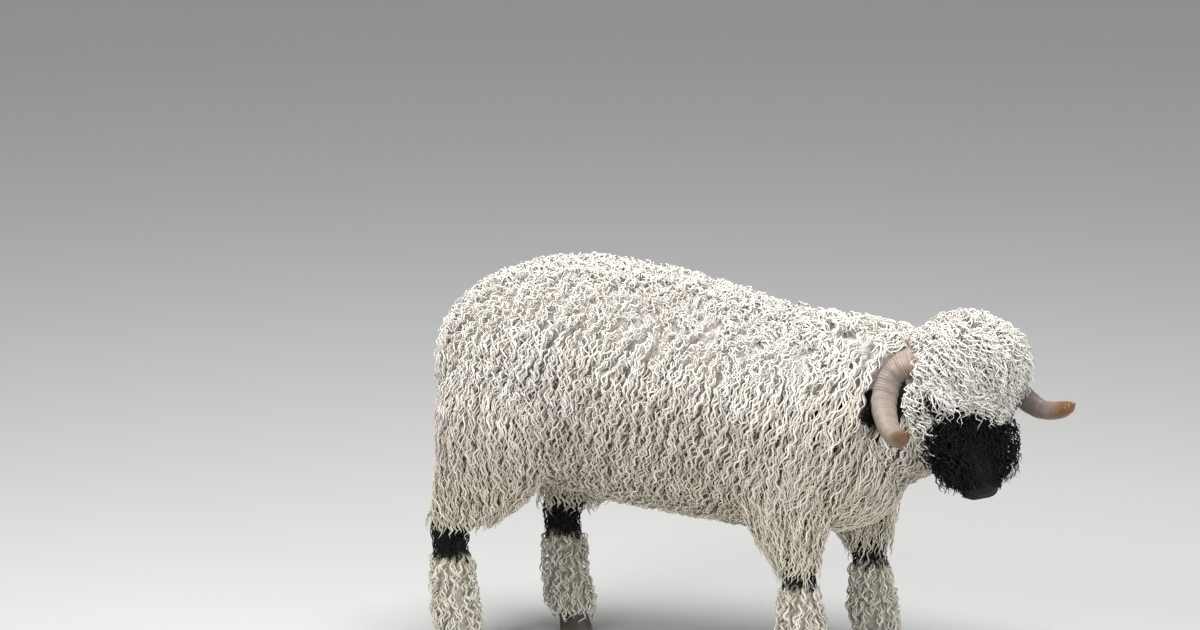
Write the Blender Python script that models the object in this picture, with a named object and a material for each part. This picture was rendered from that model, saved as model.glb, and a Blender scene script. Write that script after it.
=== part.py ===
# A Valais Blacknose sheep, life size and still, standing with its head lowered and turned to its right.
# Metres, +Z up. The sheep's body points along +X, its left side is +Y, and its soles are at z = 0.

import math

import bmesh
import bpy
import numpy as np
from mathutils import Matrix, Vector
from mathutils.bvhtree import BVHTree

GAP = 0.0003  # clearance between two nodes that meet
ROOM, ROOM_STEP = 1.35, 0.07  # how many gaps a cutter is grown by, and what each new try adds
NUDGE, NUDGE_TRIES = 0.0004, 8  # a lock is moved this much where two walls would touch along an edge
SHELL_LIMIT = 2.5  # how much further than a flat place a sharp corner may be pushed out
FOLD_LIMIT = math.radians(155)  # two faces bent more than this count as folded back
FLAT_LIMIT = 0.004  # faces bent less than this, in radians, are joined
SAME_POINT = 2e6  # points are compared in steps of half a micrometre
SHARP_EDGE = math.radians(50)
SEED = 16

# Torso, as the skin under the fleece. Rows: x, top, underside, half width.
BODY_REAR, BODY_FRONT = -0.435, 0.435
REAR_ROUNDNESS, CHEST_ROUNDNESS = 3.2, 4.5
BODY_SECTION_ROUNDNESS = 2.3
BODY_LINES = (
    (-0.44, 0.752, 0.425, 0.165),
    (-0.22, 0.768, 0.400, 0.186),
    (0.05, 0.730, 0.365, 0.200),
    (0.26, 0.686, 0.345, 0.186),
    (0.44, 0.668, 0.326, 0.160),
)
FLEECE_DEPTH = 0.058
CORE_SHARE = 0.5  # how much of the coat's depth a node's smooth core fills
TORSO_LOCKS, LIMB_LOCKS, NECK_LOCKS, TAIL_LOCKS, FACE_LOCKS = 58, 4, 10, 5, 13

# Limbs on the right side, cut level. Rows: z, x, y outward, half depth along x, half width along y.
HIND_LIMB = (
    (0.045, -0.416, 0.128, 0.026, 0.027),
    (0.080, -0.428, 0.128, 0.025, 0.024),
    (0.130, -0.434, 0.128, 0.020, 0.018),
    (0.200, -0.438, 0.128, 0.023, 0.019),
    (0.265, -0.440, 0.128, 0.036, 0.026),
    (0.340, -0.382, 0.128, 0.056, 0.042),
    (0.430, -0.338, 0.126, 0.080, 0.062),
    (0.530, -0.316, 0.114, 0.094, 0.074),
    (0.620, -0.290, 0.094, 0.080, 0.066),
)
FORE_LIMB = (
    (0.045, 0.318, 0.124, 0.026, 0.027),
    (0.080, 0.306, 0.124, 0.025, 0.024),
    (0.130, 0.302, 0.124, 0.019, 0.018),
    (0.190, 0.298, 0.124, 0.021, 0.020),
    (0.245, 0.292, 0.124, 0.030, 0.029),
    (0.330, 0.276, 0.126, 0.042, 0.037),
    (0.405, 0.262, 0.126, 0.064, 0.048),
    (0.500, 0.262, 0.116, 0.086, 0.060),
    (0.590, 0.250, 0.098, 0.080, 0.056),
)
HIND_SWING_LEFT = 0.165  # how far forward the left hind foot stands from the right one
FORE_SWING_LEFT = 0.085
HIND_LEVELS = (0.395, 0.315, 0.222, 0.046)  # body to upper leg, to hock, to shank, to claws
FORE_LEVELS = (0.385, 0.288, 0.205, 0.046)
LEG_OVERLAP = 0.014
UPPER_LEG_COAT, JOINT_COAT, LOWER_LEG_COAT = 0.044, 0.007, 0.030
UPPER_LOCKS = {"hind": 0.090, "fore": 0.130}  # length
UPPER_LOCK_WIDTH, UPPER_LOCK_THICKNESS = 0.070, 0.026
SHANK_LOCK_WIDTH, SHANK_LOCK_LENGTH, SHANK_LOCK_THICKNESS = 0.050, 0.100, 0.022

CLAW_LENGTH, CLAW_WIDTH, CLAW_HEIGHT = 0.062, 0.026, 0.0455
CLAW_SPACING = 0.0285
CLAW_FORWARD = 0.006

# Neck, from inside the shoulders to the back of the skull. Rows: share, x, y, z, half height, half width.
NECK_LINE = (
    (0.0, 0.330, 0.000, 0.540, 0.140, 0.122),
    (0.35, 0.430, -0.006, 0.554, 0.121, 0.104),
    (0.7, 0.510, -0.022, 0.573, 0.092, 0.088),
    (1.0, 0.566, -0.044, 0.600, 0.070, 0.072),
)
NECK_COAT = 0.056

# Tail, hanging in the fleece of the rump. Rows: z, x, half depth, half width.
TAIL_LINE = (
    (0.405, -0.462, 0.010, 0.018),
    (0.440, -0.464, 0.020, 0.034),
    (0.520, -0.452, 0.024, 0.040),
    (0.600, -0.430, 0.024, 0.036),
    (0.655, -0.396, 0.018, 0.024),
)

# Head frame: x to the sheep's right, y out of the face, z from the muzzle to the poll, zero between the horns.
HEAD_ORIGIN = Vector((0.619, -0.096, 0.648))
HEAD_TURN, HEAD_DROP, HEAD_ROLL = math.radians(50), math.radians(60), math.radians(4)
# Skull and face. Rows: z, front, back, half width.
HEAD_LINES = (
    (-0.254, -0.030, -0.058, 0.015),
    (-0.246, -0.018, -0.070, 0.029),
    (-0.230, -0.010, -0.080, 0.036),
    (-0.198, -0.003, -0.088, 0.041),
    (-0.155, 0.004, -0.106, 0.047),
    (-0.112, 0.009, -0.124, 0.060),
    (-0.070, 0.013, -0.126, 0.071),
    (-0.034, 0.014, -0.116, 0.072),
    (0.000, 0.006, -0.104, 0.066),
    (0.026, -0.018, -0.086, 0.046),
)
HEAD_SECTION_ROUNDNESS = 2.25
FACE_COAT = 0.056

EYE_LEVEL, EYE_ANGLE, EYE_RADIUS, EYE_SUNK = -0.074, math.radians(56), 0.0140, 0.0072
LID_THICKNESS, LID_HALF_LENGTH = 0.0046, 0.0175
UPPER_LID, LOWER_LID = (0.0125, 0.0085), (-0.0105, 0.0060)  # height, and how far it stands forward
BROW_LEVEL, BROW_ANGLE = -0.052, math.radians(44)
BROW_SIZE = (0.026, 0.020, 0.014)
MOUTH_CORNER_LEVEL, MOUTH_END_LEVEL, MOUTH_ANGLE = -0.190, -0.251, math.radians(114)
MOUTH_GROOVE = 0.0024
LIPS = ((-0.17, 0.0050), (0.19, 0.0046))  # angle from the mouth's line, and radius
NOSTRIL_LEVEL, NOSTRIL_ANGLE = -0.236, math.radians(37)

# Horn, right side, in the head frame. Rows: share, x, y, z, radius.
HORN_LINE = (
    (0.00, 0.026, -0.022, -0.014, 0.029),
    (0.10, 0.042, -0.032, 0.022, 0.030),
    (0.22, 0.070, -0.042, 0.042, 0.0295),
    (0.38, 0.112, -0.070, 0.029, 0.0280),
    (0.51, 0.140, -0.078, -0.012, 0.0265),
    (0.65, 0.158, -0.058, -0.060, 0.0235),
    (0.80, 0.172, -0.016, -0.106, 0.0190),
    (0.95, 0.187, 0.055, -0.128, 0.0135),
    (1.00, 0.192, 0.082, -0.128, 0.0050),
)
HORN_RINGS, HORN_SIDES = 17, 8
HORN_WRINKLE, HORN_KEEL = 0.045, 0.07

# Ears, in the head frame: root, tip and the way that the cup opens, right side.
EAR_ROOT = Vector((0.062, -0.070, -0.034))
EAR_TIP = Vector((0.192, -0.092, -0.040))
EAR_TIP_LEFT = Vector((0.160, -0.140, -0.048))
EAR_OPENS = Vector((0.0, 0.80, -0.60))
EAR_WIDTH, EAR_THICKNESS = 0.054, 0.0050
# Rows: share of the length, share of the width, and the angle of the cup's curl in degrees.
EAR_SHAPE = (
    (0.0, 0.50, 150),
    (0.20, 0.80, 140),
    (0.45, 1.00, 120),
    (0.70, 0.90, 95),
    (0.88, 0.62, 80),
    (1.0, 0.20, 70),
)

# Crown of wool in the head frame: the mop, which lies over to the left, and the tuft behind the horns.
# Rows: centre, half sizes, locks.
CROWN_CORES = (
    (Vector((-0.032, -0.026, 0.022)), Vector((0.104, 0.086, 0.078)), 13),
    (Vector((0.026, -0.092, 0.030)), Vector((0.098, 0.048, 0.066)), 6),
)
CROWN_DEPTH = 0.042
CROWN_LOCK = (0.074, 0.104)  # width, length
FORELOCKS = 6
FORELOCK_MIDDLE, FORELOCK_REACH = -0.026, 0.082

COLOURS = {
    "fleece": ((0.80, 0.74, 0.64, 1), 0.9),
    "crown_wool": ((0.86, 0.82, 0.75, 1), 0.9),
    "black_wool": ((0.014, 0.012, 0.012, 1), 0.85),
    "horn": ((0.52, 0.36, 0.27, 1), 0.5),
    "eye": ((0.05, 0.026, 0.012, 1), 0.12),
    "claw": ((0.035, 0.030, 0.027, 1), 0.45),
}


def clear_scene():
    for old in list(bpy.data.objects):
        bpy.data.objects.remove(old, do_unlink=True)


def material(name):
    found = bpy.data.materials.get(name)
    if found:
        return found
    made = bpy.data.materials.new(name)
    made.use_nodes = True
    shader = made.node_tree.nodes["Principled BSDF"]
    colour, roughness = COLOURS[name]
    shader.inputs["Base Color"].default_value = colour
    shader.inputs["Roughness"].default_value = roughness
    shader.inputs["Metallic"].default_value = 0.0
    return made


def along(rows, at):
    """The sizes at one place on a smooth curve through the rows, whose first column is the place."""
    table = np.array(rows, float)
    places, sizes = table[:, 0], table[:, 1:]
    at = min(max(at, places[0]), places[-1])
    slopes = np.gradient(sizes, places, axis=0)
    i = int(np.clip(np.searchsorted(places, at) - 1, 0, len(places) - 2))
    step = places[i + 1] - places[i]
    t = (at - places[i]) / step
    return (
        (1 + 2 * t) * (1 - t) ** 2 * sizes[i]
        + t * (1 - t) ** 2 * step * slopes[i]
        + t * t * (3 - 2 * t) * sizes[i + 1]
        + t * t * (t - 1) * step * slopes[i + 1]
    )


def rounded(cosine, roundness):
    """A circle's coordinate, pushed out towards a rounded square."""
    return math.copysign(abs(cosine) ** (2 / roundness), cosine)


def turned_frame(direction, up):
    """Two axes square to a direction, the second as near to up as can be."""
    across = direction.cross(up).normalized()
    return across, across.cross(direction).normalized()


class Piece:
    """One closed shape: its points and its faces."""

    def __init__(self, rings):
        self.points, self.faces = [], []
        starts = []
        for ring in rings:
            starts.append(len(self.points))
            self.points += [Vector(p) for p in ring]
        for k in range(len(rings) - 1):
            self.bridge(starts[k], len(rings[k]), starts[k + 1], len(rings[k + 1]))
        if len(rings[0]) > 1:
            self.faces.append(list(range(len(rings[0])))[::-1])
        if len(rings[-1]) > 1:
            self.faces.append([starts[-1] + i for i in range(len(rings[-1]))])
        self.face_out()

    def bridge(self, first, first_count, second, second_count):
        sides = max(first_count, second_count)
        for i in range(sides):
            j = (i + 1) % sides
            a, b = first + i % first_count, first + j % first_count
            c, d = second + j % second_count, second + i % second_count
            self.faces.append(list(dict.fromkeys((a, b, c, d))))

    def face_out(self):
        """Turns every face round if the shape is inside out."""
        volume = 0.0
        for face in self.faces:
            for k in range(1, len(face) - 1):
                a, b, c = (self.points[face[i]] for i in (0, k, k + 1))
                volume += a.dot(b.cross(c))
        if volume < 0:
            self.faces = [face[::-1] for face in self.faces]

    def mesh(self, name, grow=0.0):
        made = bpy.data.meshes.new(name)
        made.from_pydata([tuple(p) for p in self.points], [], self.faces)
        work = bmesh.new()
        work.from_mesh(made)
        bmesh.ops.triangulate(work, faces=work.faces)
        work.normal_update()
        moves = [v.normal * grow * min(v.calc_shell_factor(), SHELL_LIMIT) for v in work.verts]
        for vertex, move in zip(work.verts, moves):
            vertex.co += move
        work.to_mesh(made)
        work.free()
        return made

    def tree(self):
        return BVHTree.FromPolygons([tuple(p) for p in self.points], self.faces)

    def folds(self):
        """True if two of its faces cross, or lie folded back on each other."""
        tree = self.tree()
        if any(not set(self.faces[a]) & set(self.faces[b]) for a, b in tree.overlap(tree)):
            return True
        work = bmesh.new()
        work.from_mesh(self.mesh("test"))
        sharp = any(edge.calc_face_angle(math.pi) > FOLD_LIMIT for edge in work.edges)
        work.free()
        return sharp


def linked(name, mesh):
    made = bpy.data.objects.new(name, mesh)
    bpy.context.scene.collection.objects.link(made)
    return made


def apply_boolean(target, meshes, operation):
    """One Boolean between the target and a collection of closed meshes, applied; the collection is removed."""
    group = bpy.data.collections.new("pieces")
    bpy.context.scene.collection.children.link(group)
    for mesh in meshes:
        group.objects.link(bpy.data.objects.new("piece", mesh))
    change = target.modifiers.new("change", "BOOLEAN")
    change.operand_type = "COLLECTION"
    change.collection = group
    change.operation = operation
    change.solver = "EXACT"
    graph = bpy.context.evaluated_depsgraph_get()
    result = bpy.data.meshes.new_from_object(target.evaluated_get(graph))
    target.modifiers.clear()
    target.data = result
    for piece in list(group.objects):
        bpy.data.objects.remove(piece, do_unlink=True)
    bpy.data.collections.remove(group)


def keep_largest(target):
    """Keeps the closed surface that holds the most, and drops loose scraps and sealed hollows."""
    work = bmesh.new()
    work.from_mesh(target.data)
    bmesh.ops.dissolve_degenerate(work, dist=1e-6, edges=work.edges)
    bmesh.ops.dissolve_limit(work, angle_limit=FLAT_LIMIT, verts=work.verts, edges=work.edges)
    bmesh.ops.triangulate(work, faces=work.faces)
    left, islands = set(work.faces), []
    while left:
        stack = [left.pop()]
        island = set(stack)
        while stack:
            for edge in stack.pop().edges:
                if len(edge.link_faces) != 2:
                    continue
                for face in edge.link_faces:
                    if face in left:
                        left.discard(face)
                        island.add(face)
                        stack.append(face)
        islands.append(island)

    def volume(island):
        total = 0.0
        for face in island:
            a, b, c = (v.co for v in face.verts)
            total += a.dot(b.cross(c))
        return total

    best = max(islands, key=volume)
    loose = [face for face in work.faces if face not in best]
    bmesh.ops.delete(work, geom=loose, context="FACES")
    work.to_mesh(target.data)
    work.free()


def sound(mesh):
    """True if every edge of the surface has two faces, also where points lie closer than a hair."""
    points = np.empty(len(mesh.vertices) * 3)
    mesh.vertices.foreach_get("co", points)
    corners = np.empty(len(mesh.polygons) * 3, int)
    mesh.loops.foreach_get("vertex_index", corners)
    _, merged = np.unique(np.round(points.reshape(-1, 3) * SAME_POINT), axis=0, return_inverse=True)
    faces = merged.reshape(-1)[corners].reshape(-1, 3)
    whole = (faces[:, 0] != faces[:, 1]) & (faces[:, 1] != faces[:, 2]) & (faces[:, 0] != faces[:, 2])
    faces = faces[whole]
    edges = np.sort(np.concatenate([faces[:, :2], faces[:, 1:], faces[:, ::2]]), axis=1)
    _, counts = np.unique(edges, axis=0, return_counts=True)
    return bool((counts == 2).all())


class Node:
    """A named part of the sheep: the pieces that make it, and the neighbours that it is cut clear of."""

    def __init__(self, name, finish, pieces, clear_of=(), carved=()):
        self.name, self.finish, self.pieces = name, finish, list(pieces)
        self.clear_of, self.carved = clear_of, carved

    def join(self, target, room):
        """Joins the pieces, cuts the neighbours' room out, and keeps one closed surface."""
        target.data = self.pieces[0].mesh(self.name)
        if len(self.pieces) > 1:
            apply_boolean(target, [piece.mesh("joined") for piece in self.pieces[1:]], "UNION")
        cutters = [piece.mesh("cut") for piece in self.carved]
        for neighbour in self.clear_of:
            cutters += [piece.mesh("clear", room) for piece in neighbour.pieces]
        if cutters:
            apply_boolean(target, cutters, "DIFFERENCE")
        keep_largest(target)

    def build(self):
        target = linked(self.name, self.pieces[0].mesh(self.name))
        self.join(target, GAP * ROOM)
        nudge = np.random.default_rng(SEED)
        tries = 0
        while not sound(target.data) and tries < NUDGE_TRIES:
            tries += 1
            for piece in self.pieces[1:]:
                move = Vector(nudge.uniform(-NUDGE, NUDGE, 3))
                piece.points = [point + move for point in piece.points]
            self.join(target, GAP * (ROOM + ROOM_STEP * tries))
        target.data.materials.clear()
        target.data.materials.append(material(self.finish))
        target.data.shade_smooth()
        target.data.set_sharp_from_angle(angle=SHARP_EDGE)
        print(self.name, len(target.data.polygons), "nudged" if tries else "", tries or "")
        return target


def level_ring(centre, half_x, half_y, sides, roundness=2.0):
    """A ring cut level: half_x along x and half_y along y."""
    ring = []
    for k in range(sides):
        angle = 2 * math.pi * k / sides
        x = rounded(math.cos(angle), roundness) * half_x
        y = rounded(math.sin(angle), roundness) * half_y
        ring.append(centre + Vector((x, y, 0)))
    return ring


def tube(path, radii, sides, up=Vector((0, 0, 1)), shape=None):
    """A closed tube along a path. shape(angle) scales the radius round it."""
    rings = []
    for k, centre in enumerate(path):
        ahead = path[min(k + 1, len(path) - 1)] - path[max(k - 1, 0)]
        across, upward = turned_frame(ahead.normalized(), up)
        ring = []
        for i in range(sides):
            angle = 2 * math.pi * i / sides
            reach = radii[k] * (shape(angle) if shape else 1.0)
            ring.append(centre + (across * math.cos(angle) + upward * math.sin(angle)) * reach)
        rings.append(ring)
    return Piece(rings)


def ball(centre, half_sizes, sides=10, levels=6, turn=None):
    """An ellipsoid with its own half sizes, turned by a 3 x 3 matrix."""
    turn = turn or Matrix.Identity(3)
    rings = [[centre - turn @ Vector((0, 0, half_sizes[2]))]]
    for k in range(1, levels):
        tilt = math.pi * k / levels
        ring = []
        for i in range(sides):
            angle = 2 * math.pi * i / sides
            local = Vector((
                math.sin(tilt) * math.cos(angle) * half_sizes[0],
                math.sin(tilt) * math.sin(angle) * half_sizes[1],
                -math.cos(tilt) * half_sizes[2],
            ))
            ring.append(centre + turn @ local)
        rings.append(ring)
    rings.append([centre + turn @ Vector((0, 0, half_sizes[2]))])
    return Piece(rings)


# The fleece: even places on a core's surface, and one rounded clump at each.


def even_places(core, count, keep, rng, others=()):
    """Places spread evenly over a core, with the surface's direction there."""
    points = np.array([tuple(p) for p in core.points])
    corners = []
    for face in core.faces:
        corners += [(face[0], face[k], face[k + 1]) for k in range(1, len(face) - 1)]
    corners = points[np.array(corners)]
    squares = np.cross(corners[:, 1] - corners[:, 0], corners[:, 2] - corners[:, 0])
    areas = np.linalg.norm(squares, axis=1)
    chosen = rng.choice(len(corners), size=60 * count, p=areas / areas.sum())
    a, b = rng.random((2, len(chosen), 1))
    over = a + b > 1
    a, b = np.where(over, 1 - a, a), np.where(over, 1 - b, b)
    base = corners[chosen]
    spots = base[:, 0] + a * (base[:, 1] - base[:, 0]) + b * (base[:, 2] - base[:, 0])
    normals = squares[chosen] / areas[chosen][:, None]
    found = []
    for spot, normal in zip(spots, normals):
        spot, normal = Vector(spot), Vector(normal)
        if keep(spot, normal) and not any(buried(spot, tree) for tree in others):
            found.append((spot, normal))
    places = np.array([tuple(spot) for spot, _ in found])
    picked, nearest = [0], np.linalg.norm(places - places[0], axis=1)
    while len(picked) < min(count, len(found)):
        far = int(nearest.argmax())
        picked.append(far)
        nearest = np.minimum(nearest, np.linalg.norm(places - places[far], axis=1))
    return [found[k] for k in picked]


def buried(spot, tree):
    """True inside a closed shape."""
    hit, normal, _, _ = tree.find_nearest(spot)
    return hit is not None and (spot - hit).dot(normal) < 0


def lying(normal, towards):
    """The direction along the surface that is nearest to the one given."""
    flat = towards - normal * towards.dot(normal)
    return flat.normalized() if flat.length > 1e-4 else normal.orthogonal().normalized()


CLUMP_SHAPE = ((0.0, 0.62), (0.30, 1.0), (0.80, 0.88))  # how far along a lock, and how full it is


def follow(tree, spot, towards, length, steps=6):
    """Walks over a surface the way the wool lies, and gives the points, the directions out and the lies."""
    walk, here = [], spot
    for _ in range(steps + 1):
        hit, normal, _, _ = tree.find_nearest(here)
        lie = lying(normal, towards(hit, normal))
        walk.append((hit, normal, lie))
        here = hit + lie * length / steps
    smooth = []
    for k, (hit, normal, lie) in enumerate(walk):
        near = walk[max(k - 1, 0):k + 2]
        smooth.append((hit, sum((n for _, n, _ in near), Vector()).normalized(), lie))
    return smooth


def fall(points, outward):
    """The same kind of walk along a line of points that hangs free."""
    walk = []
    for k, point in enumerate(points):
        lie = (points[min(k + 1, len(points) - 1)] - points[max(k - 1, 0)]).normalized()
        walk.append((point, (outward - lie * outward.dot(lie)).normalized(), lie))
    return walk


def clump(walk, width, depth, thickness, rng, sides=5, sink=0.020, curl=0.4, sway=0.13):
    """A rounded lock of wool that rises from under the surface, lies along it and curls in at its tip."""
    width *= rng.uniform(0.88, 1.12)
    phase = rng.uniform(0, 2 * math.pi)

    def place(t):
        at = min(max(t, 0.0), 0.9999) * (len(walk) - 1)
        k = int(at)
        hit, normal, lie = (a.lerp(b, at - k) for a, b in zip(walk[k], walk[k + 1]))
        side = normal.cross(lie).normalized()
        up = math.sin(min(t / 0.45, 1.0) * math.pi / 2) * (depth - thickness / 2 + sink) - sink
        up -= max(t - 0.55, 0.0) ** 2 * 4.9 * curl * depth
        return hit + normal * up + side * width * sway * math.sin(phase + 5.0 * t), side, normal

    rings = []
    for t, full in CLUMP_SHAPE:
        middle, side, outward = place(t)
        ring = []
        for k in range(sides):
            angle = 2 * math.pi * (k + 0.25) / sides
            across = side * math.cos(angle) * width / 2 * full
            ring.append(middle + across + outward * math.sin(angle) * thickness / 2 * full)
        rings.append(ring)
    rings.append([place(1.0)[0]])
    return Piece(rings)


def clumps_over(core, count, keep, towards, size, rng, others=(), guide=None):
    """Locks set evenly over a core. size(spot, normal) gives each one's width, length, depth and thickness."""
    tree = (guide or core).tree()
    made = []
    for spot, normal in even_places(core, count, keep, rng, others):
        width, length, depth, thickness = size(spot, normal)
        length *= rng.uniform(0.88, 1.15)
        lock = clump(follow(tree, spot, towards, length), width, depth, thickness, rng)
        if lock.folds():
            lock = clump(follow(tree, spot, towards, length * 0.6), width * 0.8, depth, thickness * 0.8, rng)
        if not lock.folds():
            made.append(lock)
    return made


# Torso


def torso_ring(x, grow, sides):
    """The torso's outline at x, grown outwards from the skin."""
    middle = (BODY_REAR + BODY_FRONT) / 2
    share = abs(x - middle) / ((BODY_FRONT - BODY_REAR) / 2 + grow)
    roundness = REAR_ROUNDNESS if x < middle else CHEST_ROUNDNESS
    end = max(1 - share**roundness, 0.0) ** (1 / roundness)
    top, underside, half_width = along(BODY_LINES, x)
    centre = Vector((x, 0, (top + underside) / 2))
    half_height = ((top - underside) / 2 + grow) * end
    half_width = (half_width + grow) * end
    if end < 0.02:
        return [centre]
    ring = []
    for k in range(sides):
        angle = 2 * math.pi * k / sides
        y = rounded(math.cos(angle), BODY_SECTION_ROUNDNESS) * half_width
        z = rounded(math.sin(angle), BODY_SECTION_ROUNDNESS) * half_height
        ring.append(centre + Vector((0, y, z)))
    return ring


def torso_core(grow, sides=16, rings=12):
    reach = (BODY_FRONT - BODY_REAR) / 2 + grow
    middle = (BODY_REAR + BODY_FRONT) / 2
    stations = [middle - reach * math.cos(math.pi * k / rings) for k in range(rings + 1)]
    return Piece([torso_ring(x, grow, sides) for x in stations])


def limb_ring(rows, z, side, swing, grow, sides):
    """The limb's level outline at a height. side is -1 for the right, and swing moves the foot forward."""
    x, y, half_x, half_y = along(rows, z)
    hip, foot = rows[-1][0], 0.27
    share = min(max((hip - z) / (hip - foot), 0.0), 1.0)
    x += swing * share * share * (3 - 2 * share)
    return level_ring(Vector((x, side * y, z)), half_x + grow, half_y + grow, sides, 2.2)


def limb_piece(rows, low, high, side, swing, grow, sides=8, rings=3, ends=0.0):
    """A length of limb with its coat. ends draws the coat in at both ends."""
    made = []
    for k in range(rings + 1):
        share = k / rings
        coat = grow * (1 - ends * abs(2 * share - 1) ** 4)
        made.append(limb_ring(rows, low + (high - low) * share, side, swing, coat, sides))
    return Piece(made)


def down_flank(spot, normal):
    """Wool falls down the flanks and back a little, and parts along the spine."""
    return Vector((-0.40, math.copysign(0.5, spot.y), -1.0))


def down_leg(spot, normal):
    return Vector((-0.10, 0, -1))


LIMBS = (
    ("hind", "right", HIND_LIMB, HIND_LEVELS, -1, 0.0),
    ("hind", "left", HIND_LIMB, HIND_LEVELS, 1, HIND_SWING_LEFT),
    ("fore", "right", FORE_LIMB, FORE_LEVELS, -1, 0.0),
    ("fore", "left", FORE_LIMB, FORE_LEVELS, 1, FORE_SWING_LEFT),
)
UPPER_NAMES = {"hind": "gaskin", "fore": "forearm"}
JOINT_NAMES = {"hind": "hock", "fore": "knee"}
LOWER_NAMES = {"hind": "hind_shank", "fore": "fore_shank"}


def claw(centre, side):
    """Half of a cloven hoof: a flat sole, a pointed toe and a sloping wall."""
    levels = ((0.0, 1.0, 0.0), (0.026, 0.88, -0.005), (CLAW_HEIGHT, 0.72, -0.011))
    rings = []
    for z, scale, back in levels:
        ring = []
        for k in range(8):
            angle = 2 * math.pi * k / 8
            x = math.cos(angle) * CLAW_LENGTH / 2 * scale + back
            pinch = 1 - 0.45 * max(math.cos(angle), 0) ** 2
            y = math.sin(angle) * CLAW_WIDTH / 2 * (0.5 + 0.5 * scale) * pinch
            ring.append(centre + Vector((x, y - side * 0.003 * math.cos(angle), z)))
        rings.append(ring)
    return Piece(rings)


def leg_nodes(end, hand, rows, levels, side, swing, rng):
    """Claws, shank, joint and upper leg of one limb, from the floor up."""
    body, upper, joint, floor = levels
    centre = sum(limb_ring(rows, floor, side, swing, 0.0, 4), Vector()) / 4
    centre.z = 0.0
    nodes = []
    for name, offset in (("outer", side), ("inner", -side)):
        at = centre + Vector((CLAW_FORWARD, offset * CLAW_SPACING / 2, 0))
        nodes.append(Node(f"claw_{end}_{hand}_{name}", "claw", [claw(at, offset)]))

    shank = limb_piece(rows, floor, joint, side, swing, LOWER_LEG_COAT * CORE_SHARE, rings=4, ends=0.5)

    def shank_lock(spot, normal):
        length = min(SHANK_LOCK_LENGTH, spot.z - floor - 0.006)
        return SHANK_LOCK_WIDTH, length, LOWER_LEG_COAT * 0.5, SHANK_LOCK_THICKNESS

    locks = clumps_over(
        shank, LIMB_LOCKS, lambda spot, n: floor + 0.065 < spot.z and abs(n.z) < 0.8, down_leg, shank_lock, rng,
    )
    nodes.append(Node(f"{LOWER_NAMES[end]}_{hand}", "fleece", [shank] + locks))

    joint_piece = limb_piece(rows, joint - LEG_OVERLAP, upper, side, swing, JOINT_COAT, rings=3)
    nodes.append(Node(f"{JOINT_NAMES[end]}_{hand}", "black_wool", [joint_piece], clear_of=[nodes[-1]]))

    thigh = limb_piece(rows, upper - LEG_OVERLAP, body, side, swing, UPPER_LEG_COAT * CORE_SHARE, ends=0.35)
    upper_lock = UPPER_LOCK_WIDTH, UPPER_LOCKS[end], UPPER_LEG_COAT * 0.55, UPPER_LOCK_THICKNESS
    locks = clumps_over(
        thigh, LIMB_LOCKS, lambda spot, n: abs(n.z) < 0.8 and spot.z < body - 0.012, down_leg,
        lambda spot, n: upper_lock, rng,
        guide=limb_piece(rows, floor, body, side, swing, UPPER_LEG_COAT * CORE_SHARE, rings=9),
    )
    nodes.append(Node(
        f"{UPPER_NAMES[end]}_{hand}", "fleece", [thigh] + locks, clear_of=[nodes[-1], nodes[-2]]
    ))
    return nodes


# Neck and tail


def neck_piece(grow, sides=12, rings=5):
    made = []
    for k in range(rings + 1):
        share = k / rings
        x, y, z, half_height, half_width = along(NECK_LINE, share)
        ahead = Vector(along(NECK_LINE, share + 0.02)[:3]) - Vector(along(NECK_LINE, share - 0.02)[:3])
        across, upward = turned_frame(ahead.normalized(), Vector((0, 0, 1)))
        ring = []
        for i in range(sides):
            angle = 2 * math.pi * i / sides
            ring.append(
                Vector((x, y, z))
                + across * math.cos(angle) * (half_width + grow)
                + upward * math.sin(angle) * (half_height + grow)
            )
        made.append(ring)
    return Piece(made)


def tail_piece():
    rings = []
    for k in range(6):
        z = TAIL_LINE[0][0] + (TAIL_LINE[-1][0] - TAIL_LINE[0][0]) * k / 5
        x, half_x, half_y = along(TAIL_LINE, z)
        rings.append(level_ring(Vector((x, 0, z)), half_x, half_y, 8))
    return Piece(rings)


# Head


def head_matrix():
    """From the head frame to the sheep's."""
    ahead = Vector((math.cos(HEAD_TURN), -math.sin(HEAD_TURN), 0))
    down_face = ahead * math.cos(HEAD_DROP) + Vector((0, 0, -math.sin(HEAD_DROP)))
    out_of_face = ahead * math.sin(HEAD_DROP) + Vector((0, 0, math.cos(HEAD_DROP)))
    right = Vector((-math.sin(HEAD_TURN), -math.cos(HEAD_TURN), 0))
    turn = Matrix((right, out_of_face, -down_face)).transposed()
    roll = Matrix.Rotation(HEAD_ROLL, 3, out_of_face)
    return Matrix.Translation(HEAD_ORIGIN) @ (roll @ turn).to_4x4()


HEAD = head_matrix()


def placed(piece):
    """A piece modelled in the head frame, moved to where the head is."""
    piece.points = [HEAD @ p for p in piece.points]
    piece.face_out()
    return piece


def mirrored(vector, side):
    return Vector((vector[0] * side, vector[1], vector[2]))


def on_face(level, angle, grow=0.0):
    """A point of the face at a level, with angle 0 in front and 90 degrees at the right."""
    front, back, half_width = along(HEAD_LINES, level)
    x = rounded(math.sin(angle), HEAD_SECTION_ROUNDNESS) * (half_width + grow)
    y = (front + back) / 2 + rounded(math.cos(angle), HEAD_SECTION_ROUNDNESS) * ((front - back) / 2 + grow)
    return Vector((x, y, level))


def face_normal(level, angle):
    step = 0.004
    round_it = on_face(level, angle + 0.05) - on_face(level, angle - 0.05)
    up_it = on_face(level + step, angle) - on_face(level - step, angle)
    return round_it.cross(up_it).normalized() * -1


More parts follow.
